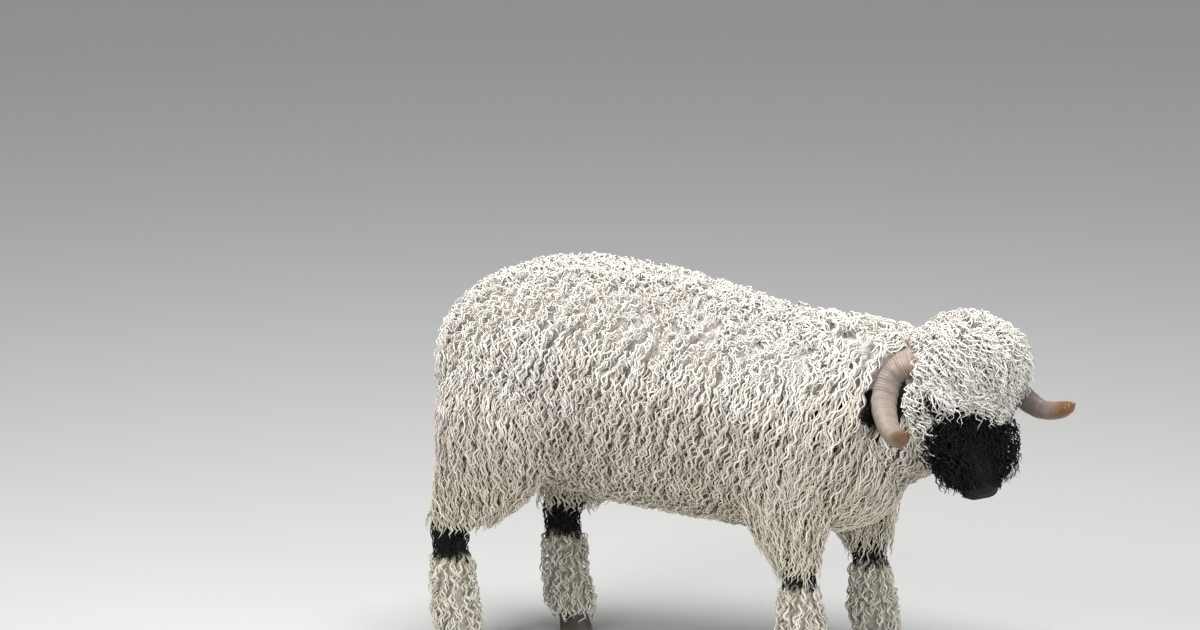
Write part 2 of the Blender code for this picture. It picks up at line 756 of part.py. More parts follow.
def head_core(grow, sides=16):
    levels = (-0.254, -0.247, -0.235, -0.214, -0.186, -0.154, -0.120, -0.085, -0.050, -0.012, 0.016, 0.026)
    rings = [[on_face(z, 2 * math.pi * k / sides, grow) for k in range(sides)] for z in levels]
    front, back, _ = along(HEAD_LINES, levels[0])
    rings.insert(0, [Vector((0, (front + back) / 2, levels[0] - 0.004 - grow))])
    front, back, _ = along(HEAD_LINES, levels[-1])
    rings.append([Vector((0, (front + back) / 2, levels[-1] + 0.008 + grow))])
    return Piece(rings)


def eye_place(side):
    """The eye's centre, the way it looks, and its level and upright directions."""
    point = on_face(EYE_LEVEL, EYE_ANGLE)
    out = face_normal(EYE_LEVEL, EYE_ANGLE)
    centre = point - out * EYE_SUNK
    along_lids = Vector((0, 0, 1)).cross(out).normalized()
    upright = out.cross(along_lids).normalized()
    return [mirrored(v, side) for v in (centre, out, along_lids, upright)]


def lid(side, height, forward):
    """One eyelid, a roll from corner to corner over the eyeball."""
    centre, out, level, upright = eye_place(side)
    path = []
    for k in range(6):
        angle = math.pi * k / 5
        across, rise = math.cos(angle), math.sin(angle)
        spot = centre + level * across * LID_HALF_LENGTH + upright * rise * height
        path.append(spot + out * (0.0040 + forward * rise))
    radii = [LID_THICKNESS * (0.65 + 0.35 * math.sin(math.pi * k / 5)) for k in range(6)]
    return tube(path, radii, 5, up=out)


def mouth_path(shift, grow=0.0):
    """The line of the mouth, from one corner round the muzzle's end to the other."""
    right = []
    for k in range(5):
        level = MOUTH_CORNER_LEVEL + (MOUTH_END_LEVEL - MOUTH_CORNER_LEVEL) * k / 4
        right.append(on_face(level, MOUTH_ANGLE + shift - 0.10 * k / 4, grow))
    left = [mirrored(p, -1) for p in right[::-1]]
    return right + left


def nose_pieces(side):
    """The wing of a nostril, and the slit cut into it."""
    point = on_face(NOSTRIL_LEVEL, side * NOSTRIL_ANGLE)
    lean = Matrix.Rotation(side * math.radians(-24), 3, "Y")
    wing = ball(point + Vector((0, -0.003, 0.002)), (0.0085, 0.0075, 0.0125), 7, 5, lean)
    slit = ball(point + Vector((0, 0.005, 0.0)), (0.0034, 0.0075, 0.0082), 6, 4, lean)
    return wing, slit


def horn_piece(side):
    """The right horn's spiral, or its mirror image, ringed with wrinkles and with a keel on its outer edge."""
    path, radii = [], []
    for k in range(HORN_RINGS):
        share = k / (HORN_RINGS - 1)
        x, y, z, radius = along(HORN_LINE, share)
        path.append(mirrored((x, y, z), side))
        wrinkle = 1 + HORN_WRINKLE * (1 if k % 2 else -1) * (1 - share)
        radii.append(radius * wrinkle)
    keel = lambda angle: 1 + HORN_KEEL * math.cos(3 * angle)
    return placed(tube(path, radii, HORN_SIDES, Vector((side, 0.15, 0)), keel))


def ear_piece(side, tip):
    """A leaf-shaped ear, rolled at its root and cupped towards its tip."""
    axis = (tip - EAR_ROOT).normalized()
    opens = (EAR_OPENS - axis * EAR_OPENS.dot(axis)).normalized()
    across = axis.cross(opens).normalized()
    length = (tip - EAR_ROOT).length
    rings = []
    for share, half, bend in EAR_SHAPE:
        half, bend = half * EAR_WIDTH / 2, math.radians(bend)
        centre = EAR_ROOT + axis * share * length - opens * 0.010 * math.sin(math.pi * share)
        thick = EAR_THICKNESS * (1 - 0.4 * share)
        radius = half / math.sin(min(bend, math.pi) / 2)
        hub = centre + opens * radius * math.cos(bend / 2)
        outer, inner = [], []
        for i in range(5):
            angle = (i / 4 - 0.5) * bend
            turn = across * math.sin(angle) - opens * math.cos(angle)
            rim = 0.6 if i in (0, 4) else 1.0
            outer.append(hub + turn * (radius + thick / 2 * rim))
            inner.append(hub + turn * (radius - thick / 2 * rim))
        rings.append([mirrored(p, side) for p in outer + inner[::-1]])
    return placed(Piece(rings))


def crown_pieces(rng):
    """The wool cap: two cores over the skull, rounded locks, and the forelock's longer locks over the brow."""
    cores = [ball(centre, halves, 14, 8) for centre, halves, _ in CROWN_CORES]
    made = list(cores)

    def keep(spot, normal):
        over_brow = spot.y > 0.03 and spot.z < 0.05
        beside_horn = spot.x > 0.035 and spot.y > -0.105
        return spot.z > -0.050 and not over_brow and not beside_horn

    for k, core in enumerate(cores):
        made += clumps_over(
            core, CROWN_CORES[k][2], keep,
            lambda spot, n: Vector((spot.x * 3, (spot.y + 0.04) * 3, -1.0)),
            lambda spot, n: (*CROWN_LOCK, CROWN_DEPTH, CROWN_DEPTH * 0.85), rng, [cores[1 - k].tree()],
        )
    for k in range(FORELOCKS):
        share = 2 * k / (FORELOCKS - 1) - 1
        x = FORELOCK_MIDDLE + share * FORELOCK_REACH
        drop = 0.098 - 0.042 * share * share + rng.uniform(-0.010, 0.010)
        front = 0.052 - 0.034 * share * share
        line = [
            Vector((x * 0.84, front - 0.022, 0.066)), Vector((x * 0.94, front + 0.006, 0.032)),
            Vector((x, front + 0.006, -0.012)), Vector((x * 1.02, front - 0.006, -0.050)),
            Vector((x * 1.03, front - 0.016, -drop)), Vector((x * 1.03, front - 0.026, -drop - 0.016)),
        ]
        outward = Vector(((x - FORELOCK_MIDDLE) * 4, 1, 0.2))
        made.append(clump(fall(line, outward), 0.050, 0.020, 0.028, rng, sink=0.004, curl=0.2))
    return [placed(piece) for piece in made]


def face_clumps(core, rng):
    """Full black wool on the cheeks and jaw."""
    return clumps_over(
        core, FACE_LOCKS,
        lambda spot, n: -0.158 < spot.z < -0.055 and abs(n.z) < 0.8 and spot.y < 0.003 + 0.30 * (spot.z + 0.04),
        lambda spot, n: Vector((0, -0.25, -1.0)),
        lambda spot, n: (0.066, 0.066, FACE_COAT * (0.56 + 3.4 * (spot.z + 0.175)), 0.044), rng,
    )


def head_node(rng, clear_of):
    core = head_core(0.003)
    pieces = [core] + face_clumps(core, rng)
    carved = [tube(mouth_path(0.0, 0.0032), [MOUTH_GROOVE] * 10, 4)]
    for side in (1, -1):
        brow = on_face(BROW_LEVEL, side * BROW_ANGLE)
        pieces.append(ball(brow - Vector((side * 0.008, 0.006, 0)), BROW_SIZE, 8, 5))
        pieces += [lid(side, *UPPER_LID), lid(side, *LOWER_LID)]
        wing, slit = nose_pieces(side)
        pieces.append(wing)
        carved.append(slit)
    for shift, radius in LIPS:
        pieces.append(tube(mouth_path(shift, 0.001), [radius] * 10, 5))
    return Node(
        "head", "black_wool", [placed(piece) for piece in pieces], clear_of=clear_of,
        carved=[placed(piece) for piece in carved],
    )


def torso_node(rng, neck_core, clear_of):
    """The trunk with the tops of the thighs and shoulders, under its locks."""
    grow = FLEECE_DEPTH * CORE_SHARE
    core = torso_core(grow)
    covers = [core]
    for end, hand, rows, levels, side, swing in LIMBS:
        covers.append(limb_piece(rows, levels[0] - LEG_OVERLAP, rows[-1][0], side, swing, grow, 10, 4))

    def size(spot, normal):
        high = min(max((spot.z - 0.55) / 0.2, 0.0), 1.0)
        under = max(-normal.z, 0.0)
        width = 0.112 - 0.016 * high - 0.014 * under
        length = 0.180 - 0.050 * high - 0.055 * under
        return width, length, FLEECE_DEPTH * (0.56 - 0.06 * high), 0.038

    def keep(spot, normal):
        beside_tail = abs(spot.y) < 0.045 and spot.x < -0.38 and spot.z < 0.64
        return not beside_tail

    locks = []
    trees = [cover.tree() for cover in covers]
    for k, cover in enumerate(covers):
        others = trees[:k] + trees[k + 1:] + [neck_core.tree()]
        count = TORSO_LOCKS if k == 0 else LIMB_LOCKS
        locks += clumps_over(cover, count, keep, down_flank, size, rng, others)
    return Node("torso", "fleece", covers + locks, clear_of=clear_of)


def main():
    clear_scene()
    rng = np.random.default_rng(SEED)
    legs = [leg_nodes(*limb, rng) for limb in LIMBS]
    hips = [group[-1] for group in legs]

    eyes = []
    for hand, side in (("right", 1), ("left", -1)):
        eyes.append(Node(f"eye_{hand}", "eye", [placed(ball(eye_place(side)[0], [EYE_RADIUS] * 3, 12, 7))]))
    horns = [Node("horn_right", "horn", [horn_piece(1)]), Node("horn_left", "horn", [horn_piece(-1)])]
    ears = [
        Node("ear_right", "black_wool", [ear_piece(1, EAR_TIP)], clear_of=[horns[0]]),
        Node("ear_left", "black_wool", [ear_piece(-1, EAR_TIP_LEFT)], clear_of=[horns[1]]),
    ]
    neck_core = neck_piece(NECK_COAT * CORE_SHARE)
    neck_end = Node("neck_end", "fleece", [neck_core])
    head = head_node(rng, eyes + ears + horns + [neck_end])
    crown_wool = crown_pieces(rng)

    locks = clumps_over(
        neck_core, NECK_LOCKS, lambda spot, n: 0.38 < spot.x < 0.50 and n.z > -0.8 and abs(n.x) < 0.9,
        lambda spot, n: Vector((-0.55, math.copysign(0.3, spot.y), -1.0)),
        lambda spot, n: (0.090, 0.135, NECK_COAT * 0.5, 0.034), rng,
    )
    neck = Node("neck", "fleece", [neck_core] + locks, clear_of=ears + horns + hips[2:])
    crown = Node("crown", "crown_wool", crown_wool, clear_of=[head, neck] + ears + horns + eyes)

    tail_core = tail_piece()
    tail_locks = clumps_over(
        tail_core, TAIL_LOCKS, lambda spot, n: n.x < 0.2 and abs(n.z) < 0.7 and spot.z > 0.47,
        lambda spot, n: Vector((0, 0, -1)), lambda spot, n: (0.042, 0.070, 0.014, 0.018), rng,
    )
    tail = Node("tail", "fleece", [tail_core] + tail_locks)
    torso = torso_node(rng, neck_core, [neck, tail] + hips + [group[-2] for group in legs])

    nodes = [node for group in legs for node in group]
    nodes += eyes + horns + ears + [head, crown, neck, tail, torso]
    made = [node.build() for node in nodes]
    stand_on_origin(made)
    print("triangles in all", sum(len(o.data.polygons) for o in made))


def stand_on_origin(made):
    """Moves the sheep so that the middle of its box is over the origin and its soles are at z = 0."""
    corners = np.array([tuple(v.co) for o in made for v in o.data.vertices])
    low, high = corners.min(axis=0), corners.max(axis=0)
    shift = Vector((-(low[0] + high[0]) / 2, -(low[1] + high[1]) / 2, -low[2]))
    for obj in made:
        obj.data.transform(Matrix.Translation(shift))
    print("shift", *(round(value, 5) for value in shift))


main()
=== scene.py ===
import math

import bmesh
import bpy
import numpy as np
from mathutils import Matrix, Vector
from mathutils.bvhtree import BVHTree


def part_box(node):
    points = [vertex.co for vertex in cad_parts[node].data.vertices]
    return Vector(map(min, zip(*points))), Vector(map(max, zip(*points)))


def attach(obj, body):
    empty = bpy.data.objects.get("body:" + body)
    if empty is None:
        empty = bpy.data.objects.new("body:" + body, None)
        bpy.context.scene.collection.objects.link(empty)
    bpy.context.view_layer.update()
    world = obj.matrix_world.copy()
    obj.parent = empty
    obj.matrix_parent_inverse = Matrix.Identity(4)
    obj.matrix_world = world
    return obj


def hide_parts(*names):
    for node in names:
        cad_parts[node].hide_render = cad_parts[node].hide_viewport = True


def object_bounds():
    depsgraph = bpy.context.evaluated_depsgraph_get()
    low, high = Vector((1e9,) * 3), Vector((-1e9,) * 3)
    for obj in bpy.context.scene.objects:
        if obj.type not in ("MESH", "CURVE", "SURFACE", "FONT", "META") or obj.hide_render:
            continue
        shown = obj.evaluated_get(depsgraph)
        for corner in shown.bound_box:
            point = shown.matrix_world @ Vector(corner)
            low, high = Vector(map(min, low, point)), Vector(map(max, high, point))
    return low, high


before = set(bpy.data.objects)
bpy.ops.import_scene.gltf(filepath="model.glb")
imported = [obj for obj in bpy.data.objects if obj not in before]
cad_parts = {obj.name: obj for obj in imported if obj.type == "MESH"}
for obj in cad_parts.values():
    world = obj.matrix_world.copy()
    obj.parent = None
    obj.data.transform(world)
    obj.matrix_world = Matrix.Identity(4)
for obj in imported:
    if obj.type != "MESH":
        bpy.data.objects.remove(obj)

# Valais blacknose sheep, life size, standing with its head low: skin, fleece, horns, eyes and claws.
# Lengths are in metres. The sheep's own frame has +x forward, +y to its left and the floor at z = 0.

cadLow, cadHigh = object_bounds()

trunk = {
    "rear": -0.435, "front": 0.435,
    "rearRoundness": 3.2, "chestRoundness": 4.5, "sectionRoundness": 2.3,
    "underWool": 0.027,  # dense wool below the locks
    "lines": (  # x, top, underside, half width
        (-0.44, 0.752, 0.425, 0.165),
        (-0.22, 0.768, 0.400, 0.186),
        (0.05, 0.730, 0.365, 0.200),
        (0.26, 0.686, 0.345, 0.186),
        (0.44, 0.668, 0.326, 0.160),
    ),
}
hindLimb = {
    "rows": (  # z, x, y outward, half depth, half width
        (0.045, -0.416, 0.128, 0.026, 0.027),
        (0.080, -0.428, 0.128, 0.025, 0.024),
        (0.130, -0.434, 0.128, 0.020, 0.018),
        (0.200, -0.438, 0.128, 0.023, 0.019),
        (0.265, -0.440, 0.128, 0.036, 0.026),
        (0.340, -0.382, 0.128, 0.056, 0.042),
        (0.430, -0.338, 0.126, 0.080, 0.062),
        (0.530, -0.316, 0.114, 0.094, 0.074),
        (0.620, -0.290, 0.094, 0.080, 0.066),
    ),
    "underWool": (  # z, depth
        (0.045, 0.006), (0.090, 0.014), (0.180, 0.013), (0.222, 0.005), (0.310, 0.005), (0.345, 0.017),
        (0.390, 0.021), (0.430, 0.027), (0.620, 0.027),
    ),
    "joint": (0.208, 0.322), "swingLeft": 0.165, "lockLength": 0.078,
}
foreLimb = {
    "rows": (
        (0.045, 0.318, 0.124, 0.026, 0.027),
        (0.080, 0.306, 0.124, 0.025, 0.024),
        (0.130, 0.302, 0.124, 0.019, 0.018),
        (0.190, 0.298, 0.124, 0.021, 0.020),
        (0.245, 0.292, 0.124, 0.030, 0.029),
        (0.330, 0.276, 0.126, 0.042, 0.037),
        (0.405, 0.262, 0.126, 0.064, 0.048),
        (0.500, 0.262, 0.116, 0.086, 0.060),
        (0.590, 0.250, 0.098, 0.080, 0.056),
    ),
    "underWool": (
        (0.045, 0.006), (0.085, 0.014), (0.165, 0.013), (0.205, 0.005), (0.285, 0.005), (0.315, 0.017),
        (0.375, 0.021), (0.420, 0.027), (0.590, 0.027),
    ),
    "joint": (0.191, 0.295), "swingLeft": 0.085, "lockLength": 0.118,
}
neck = {
    "underWool": 0.027,
    "rows": (  # share, x, y, z, half height, half width
        (0.0, 0.330, 0.000, 0.540, 0.140, 0.122),
        (0.35, 0.430, -0.006, 0.554, 0.121, 0.104),
        (0.7, 0.510, -0.022, 0.573, 0.092, 0.088),
        (1.0, 0.566, -0.044, 0.600, 0.070, 0.072),
    ),
}
tail = {
    "rows": (  # z, x, half depth, half width
        (0.405, -0.462, 0.010, 0.018),
        (0.440, -0.464, 0.018, 0.032),
        (0.520, -0.452, 0.022, 0.038),
        (0.600, -0.430, 0.022, 0.034),
        (0.655, -0.396, 0.016, 0.022),
    ),
}
# Head frame: x to the sheep's right, y out of the face, z from muzzle to poll, zero between the horns.
head = {
    "origin": (0.619, -0.096, 0.648), "turn": 50, "drop": 60, "roll": 4, "sectionRoundness": 2.25,
    "rows": (  # z, front, back, half width
        (-0.254, -0.030, -0.058, 0.015),
        (-0.246, -0.018, -0.070, 0.029),
        (-0.230, -0.010, -0.080, 0.036),
        (-0.198, -0.003, -0.088, 0.041),
        (-0.155, 0.004, -0.106, 0.047),
        (-0.112, 0.009, -0.124, 0.060),
        (-0.070, 0.013, -0.126, 0.071),
        (-0.034, 0.014, -0.116, 0.072),
        (0.000, 0.006, -0.104, 0.066),
        (0.026, -0.018, -0.086, 0.046),
    ),
}
eye = {
    "level": -0.074, "angle": 56, "radius": 0.0140, "sunk": 0.0072,
    "opening": 0.0150, "openAbove": 0.0078, "openBelow": 0.0062, "skinBehind": 0.0016,
    "lid": 0.0046, "lidReach": 0.0175, "lidOut": 0.0040,
    "lids": ((0.0125, 0.0085), (-0.0105, 0.0060)),  # height, how far forward
    "foldReach": 0.034, "foldHalves": (0.0235, 0.0180),
    "folds": ((0.0022, 1.12, 0.13), (0.0012, 1.45, 0.10)),  # height, place and width of each fold of skin
}
mouth = {
    "corner": -0.190, "angle": 114, "end": -0.251, "groove": 0.0032, "depth": 0.0062,
    "lips": ((-0.17, 0.0052), (0.19, 0.0048)),  # turn from the mouth line, radius
}
nostril = {
    "level": -0.236, "angle": 37, "slant": (0.0042, 0.001, 0.0072), "depth": 0.0095, "width": 0.0036,
    "wing": (0.0090, 0.0080, 0.0130), "wingShift": (0, -0.003, 0.002),
}
browForm = {"level": -0.052, "angle": 44, "inward": (0.008, 0.006, 0), "halves": (0.026, 0.020, 0.014)}
cheekForm = {"level": -0.115, "angle": 98, "grow": -0.016, "halves": (0.020, 0.036, 0.042)}
horn = {
    "rows": (  # share, x, y, z, radius
        (0.00, 0.026, -0.022, -0.014, 0.029),
        (0.10, 0.042, -0.032, 0.022, 0.030),
        (0.22, 0.070, -0.042, 0.042, 0.0295),
        (0.38, 0.112, -0.070, 0.029, 0.0280),
        (0.51, 0.140, -0.078, -0.012, 0.0265),
        (0.65, 0.158, -0.058, -0.060, 0.0235),
        (0.80, 0.172, -0.016, -0.106, 0.0190),
        (0.95, 0.187, 0.055, -0.128, 0.0135),
        (1.00, 0.192, 0.082, -0.128, 0.0050),
    ),
    "rings": 150, "sides": 28, "wrinkles": 17, "wrinkle": 0.085, "keel": 0.07,
    "fineLines": 3.7, "fineDepth": 0.008, "tipRings": 6,  # fine lines to each wrinkle
    "bareRight": 0.16, "bareLeft": 0.66,  # share of the length from which no wool lies on it
}
ear = {
    "root": (0.062, -0.070, -0.034), "tipRight": (0.192, -0.092, -0.040), "tipLeft": (0.160, -0.140, -0.048),
    "opens": (0.0, 0.80, -0.60), "width": 0.054, "thickness": 0.0056,
    "rows": (  # share of length, share of width, curl in degrees
        (0.0, 0.50, 150), (0.20, 0.80, 140), (0.45, 1.00, 120),
        (0.70, 0.90, 95), (0.88, 0.62, 80), (1.0, 0.24, 70),
    ),
}
crown = {  # the mop lies over to the left, the tuft behind the horns: centre, half sizes
    "mop": ((-0.032, -0.026, 0.022), (0.104, 0.086, 0.078)),
    "tuft": ((0.026, -0.092, 0.030), (0.098, 0.048, 0.066)),
}
claw = {
    "length": 0.062, "width": 0.026, "height": 0.0455, "spacing": 0.0285, "forward": 0.006,
    "crownLevel": 0.046,  # where the shank meets it
    "taper": ((0.0, 1.0, 0.0), (0.57, 0.88, -0.005), (1.0, 0.72, -0.011)),  # share of height, scale, set back
    "pinch": 0.45, "turnIn": 0.003, "ridges": 5, "ridge": 0.010,
}
swungBelow = 0.27  # height from which a limb has its whole swing


def smooth(value, low, high):
    share = np.clip((value - low) / (high - low), 0.0, 1.0)
    return share * share * (3 - 2 * share)


def unit(vectors):
    return vectors / np.maximum(np.linalg.norm(vectors, axis=-1, keepdims=True), 1e-12)


def through(rows, at):  # sizes on a smooth curve through rows whose first column is the place
    table = np.array(rows, float)
    places, sizes = table[:, 0], table[:, 1:]
    at = np.clip(np.atleast_1d(np.asarray(at, float)), places[0], places[-1])
    slopes = np.gradient(sizes, places, axis=0)
    i = np.clip(np.searchsorted(places, at) - 1, 0, len(places) - 2)
    step = (places[i + 1] - places[i])[:, None]
    t = (at - places[i])[:, None] / step
    return (
        (1 + 2 * t) * (1 - t) ** 2 * sizes[i] + t * (1 - t) ** 2 * step * slopes[i]
        + t * t * (3 - 2 * t) * sizes[i + 1] + t * t * (t - 1) * step * slopes[i + 1]
    )


def squared(wave, roundness):  # a sine or cosine pushed out towards a rounded square
    return np.sign(wave) * np.abs(wave) ** (2 / roundness)


def sheepOrigin():  # where the sheep's own frame sits, read from the claws of the solid model
    right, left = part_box("claw_hind_right_outer"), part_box("claw_hind_left_outer")
    clawX = through(hindLimb["rows"], claw["crownLevel"])[0][0] + claw["forward"] + claw["length"] / 2
    return np.array((right[1].x - clawX, (right[0].y + left[1].y) / 2, 0.0))


origin = sheepOrigin()
print("sheep frame at", origin.round(4))


# Shapes as grids of points, ring after ring.


def levelRings(centres, halfX, halfY, sides, roundness=2.0):
    angle = 2 * np.pi * np.arange(sides) / sides
    x = squared(np.cos(angle), roundness)[None] * halfX[:, None]
    y = squared(np.sin(angle), roundness)[None] * halfY[:, None]
    return centres[:, None] + np.stack([x, y, np.zeros_like(x)], -1)


def trunkGrid(rings=60, sides=80):
    grow = trunk["underWool"]
    middle = (trunk["rear"] + trunk["front"]) / 2
    reach = (trunk["front"] - trunk["rear"]) / 2 + grow
    x = middle - reach * np.cos(np.pi * np.linspace(0.012, 0.988, rings))
    roundness = np.where(x < middle, trunk["rearRoundness"], trunk["chestRoundness"])
    end = np.maximum(1 - (np.abs(x - middle) / reach) ** roundness, 0) ** (1 / roundness)
    top, underside, halfWidth = through(trunk["lines"], x).T
    angle = 2 * np.pi * np.arange(sides) / sides
    y = squared(np.cos(angle), trunk["sectionRoundness"])[None] * ((halfWidth + grow) * end)[:, None]
    halfHeight = ((top - underside) / 2 + grow) * end
    z = squared(np.sin(angle), trunk["sectionRoundness"])[None] * halfHeight[:, None]
    return np.stack([x[:, None] + 0 * y, y, z + ((top + underside) / 2)[:, None]], -1) + origin


def limbLine(limb, z, swing):  # middle and half sizes down a limb, swung forward from its top
    x, y, halfX, halfY = through(limb["rows"], z).T
    top = limb["rows"][-1][0]
    return x + swing * smooth(top - z, 0.0, top - swungBelow), y, halfX, halfY


def limbGrid(limb, side, swing, rings=70, sides=40):
    z = np.linspace(0.040, limb["rows"][-1][0], rings)
    x, y, halfX, halfY = limbLine(limb, z, swing)
    coat = through(limb["underWool"], z)[:, 0]
    centres = np.stack([x, side * y, z], -1) + origin
    return levelRings(centres, halfX + coat, halfY + coat, sides, 2.2)


def neckGrid(rings=30, sides=48):
    share = np.linspace(0, 1, rings)
    x, y, z, halfHeight, halfWidth = through(neck["rows"], share).T
    line = np.stack([x, y, z], -1)
    ahead = unit(np.gradient(line, axis=0))
    across = unit(np.cross(ahead, (0, 0, 1)))
    upward = np.cross(across, ahead)
    angle = 2 * np.pi * np.arange(sides) / sides
    return (
        line[:, None] + origin
        + across[:, None] * np.cos(angle)[None, :, None] * (halfWidth + neck["underWool"])[:, None, None]
        + upward[:, None] * np.sin(angle)[None, :, None] * (halfHeight + neck["underWool"])[:, None, None]
    )


def tailGrid(rings=16, sides=20):
    z = np.linspace(tail["rows"][0][0], tail["rows"][-1][0], rings)
    x, halfX, halfY = through(tail["rows"], z).T
    return levelRings(np.stack([x, 0 * x, z], -1) + origin, halfX, halfY, sides)


def headMatrix():
    turn, drop = math.radians(head["turn"]), math.radians(head["drop"])
    ahead = Vector((math.cos(turn), -math.sin(turn), 0))
    downFace = ahead * math.cos(drop) + Vector((0, 0, -math.sin(drop)))
    outOfFace = ahead * math.sin(drop) + Vector((0, 0, math.cos(drop)))
    right = Vector((-math.sin(turn), -math.cos(turn), 0))
    axes = Matrix((right, outOfFace, -downFace)).transposed()
    roll = Matrix.Rotation(math.radians(head["roll"]), 3, outOfFace)
    return Matrix.Translation(Vector(head["origin"]) + Vector(origin)) @ (roll @ axes).to_4x4()


headPlace = headMatrix()
headTurn = np.array(headPlace.to_3x3())
headAt = np.array(headPlace.translation)


def fromHead(points):
    return np.asarray(points) @ headTurn.T + headAt


def toHead(points):
    return (np.asarray(points) - headAt) @ headTurn


def mirrored(points, side):
    return np.asarray(points) * np.array((side, 1.0, 1.0))


def onFace(level, angle, grow=0.0):  # angle 0 is the front of the face, 90 degrees its right
    level, angle = np.broadcast_arrays(np.asarray(level, float), np.asarray(angle, float))
    front, back, halfWidth = through(head["rows"], level.ravel()).T.reshape(3, *level.shape)
    x = squared(np.sin(angle), head["sectionRoundness"]) * (halfWidth + grow)
    y = (front + back) / 2 + squared(np.cos(angle), head["sectionRoundness"]) * ((front - back) / 2 + grow)
    return np.stack([x, y, level], -1)


def headGrid(rings=90, sides=72):
    share = np.linspace(0, 1, rings)
    level = head["rows"][0][0] + (head["rows"][-1][0] - head["rows"][0][0]) * share
    angle = 2 * np.pi * np.arange(sides) / sides
    grid = onFace(level[:, None], angle[None], 0.0015)
    grid[-1] = grid[-1].mean(0) + (grid[-1] - grid[-1].mean(0)) * 0.6
    return fromHead(grid)


def ballGrid(centre, halves, rings=24, sides=36):
    tilt = np.pi * np.linspace(0.02, 0.98, rings)
    angle = 2 * np.pi * np.arange(sides) / sides
    ring = np.stack([np.cos(angle), np.sin(angle), 0 * angle], -1)
    up = -np.cos(tilt)[:, None] * np.array((0, 0, 1.0))
    return np.array(centre) + (np.sin(tilt)[:, None, None] * ring[None] + up[:, None]) * np.array(halves)


def tubeGrid(path, radii, sides, up, shape=None):
    path, radii = np.asarray(path, float), np.asarray(radii, float)
    ahead = unit(np.gradient(path, axis=0))
    across = unit(np.cross(ahead, up))
    upward = np.cross(across, ahead)
    angle = 2 * np.pi * np.arange(sides) / sides
    reach = radii[:, None] * (1.0 if shape is None else shape(angle)[None])
    return (
        path[:, None] + across[:, None] * (np.cos(angle) * reach)[..., None]
        + upward[:, None] * (np.sin(angle) * reach)[..., None]
    )


def earGrid(side, tip, rings=26, arc=9):
    root, tip, opens = np.array(ear["root"]), np.array(tip), np.array(ear["opens"])
    axis = unit(tip - root)
    opens = unit(opens - axis * opens.dot(axis))
    across = np.cross(axis, opens)
    length = np.linalg.norm(tip - root)
    share = np.linspace(0, 1, rings)
    half, bend = through(ear["rows"], share).T
    half, bend = half * ear["width"] / 2, np.radians(bend)
    thick = ear["thickness"] * (1 - 0.4 * share)
    centre = root + axis * (share * length)[:, None] - opens * (0.010 * np.sin(np.pi * share))[:, None]
    radius = half / np.sin(bend / 2)
    hub = centre + opens * (radius * np.cos(bend / 2))[:, None]
    place = np.linspace(-0.5, 0.5, arc)
    angle = place[None] * bend[:, None]
    way = across * np.sin(angle)[..., None] - opens * np.cos(angle)[..., None]
    rim = np.where(np.abs(place) > 0.49, 0.45, 1.0)
    outer = hub[:, None] + way * (radius[:, None] + thick[:, None] / 2 * rim)[..., None]
    inner = hub[:, None] + way * (radius[:, None] - thick[:, None] / 2 * rim)[..., None]
    return fromHead(mirrored(np.concatenate([outer, inner[:, ::-1]], 1), side))


# Meshes from grids, and the skin.


def gridMesh(grid):  # one closed surface: the rings bridged, and both ends closed on their middles
    rings, sides = grid.shape[:2]
    points = np.concatenate([grid.reshape(-1, 3), grid[0].mean(0)[None], grid[-1].mean(0)[None]])
    k, i = np.meshgrid(np.arange(rings - 1), np.arange(sides), indexing="ij")
    j = (i + 1) % sides
    walls = np.stack([k * sides + i, k * sides + j, (k + 1) * sides + j, (k + 1) * sides + i], -1)
    faces = walls.reshape(-1, 4).tolist()
    last = (rings - 1) * sides
    for i in range(sides):
        j = (i + 1) % sides
        faces.append([j, i, len(points) - 2])
        faces.append([last + i, last + j, len(points) - 1])
    return points, faces


def outward(points, faces):  # turns the faces round if the shape is inside out
    a, b, c = (points[[face[k] for face in faces]] for k in range(3))
    volume = np.einsum("ij,ij->i", a, np.cross(b, c)).sum()
    return faces if volume > 0 else [face[::-1] for face in faces]


def shell(grids):  # several closed surfaces in one mesh
    points, faces = [], []
    for grid in grids:
        newPoints, newFaces = gridMesh(grid)
        newFaces = outward(newPoints - newPoints.mean(0), newFaces)
        start = sum(len(p) for p in points)
        points.append(newPoints)
        faces += [[start + v for v in face] for face in newFaces]
    return np.concatenate(points), faces


def meshObject(name, points, faces):
    mesh = bpy.data.meshes.new(name)
    mesh.from_pydata(np.asarray(points).tolist(), [], faces)
    made = bpy.data.objects.new(name, mesh)
    bpy.context.scene.collection.objects.link(made)
    return made


def applied(made):  # the object with its modifiers worked into its mesh
    graph = bpy.context.evaluated_depsgraph_get()
    mesh = bpy.data.meshes.new_from_object(made.evaluated_get(graph))
    made.modifiers.clear()
    made.data = mesh
    return made


def voxelSkin(name, grids, voxel, rounds):  # the shapes melted into one surface, then smoothed
    made = meshObject(name, *shell(grids))
    melt = made.modifiers.new("melt", "REMESH")
    melt.mode = "VOXEL"
    melt.voxel_size = voxel
    ease = made.modifiers.new("ease", "SMOOTH")
    ease.factor = 0.5
    ease.iterations = rounds
    return applied(made)


def pointsOf(mesh):
    points = np.empty(len(mesh.vertices) * 3, np.float32)
    mesh.vertices.foreach_get("co", points)
    return points.reshape(-1, 3).astype(float)


def normalsOf(mesh):
    normals = np.empty(len(mesh.vertices) * 3, np.float32)
    mesh.vertices.foreach_get("normal", normals)
    return normals.reshape(-1, 3).astype(float)


def moveTo(mesh, points):
    mesh.vertices.foreach_set("co", np.asarray(points, np.float32).ravel())
    mesh.update()


def treeOf(mesh):
    work = bmesh.new()
    work.from_mesh(mesh)
    tree = BVHTree.FromBMesh(work)
    work.free()
    return tree


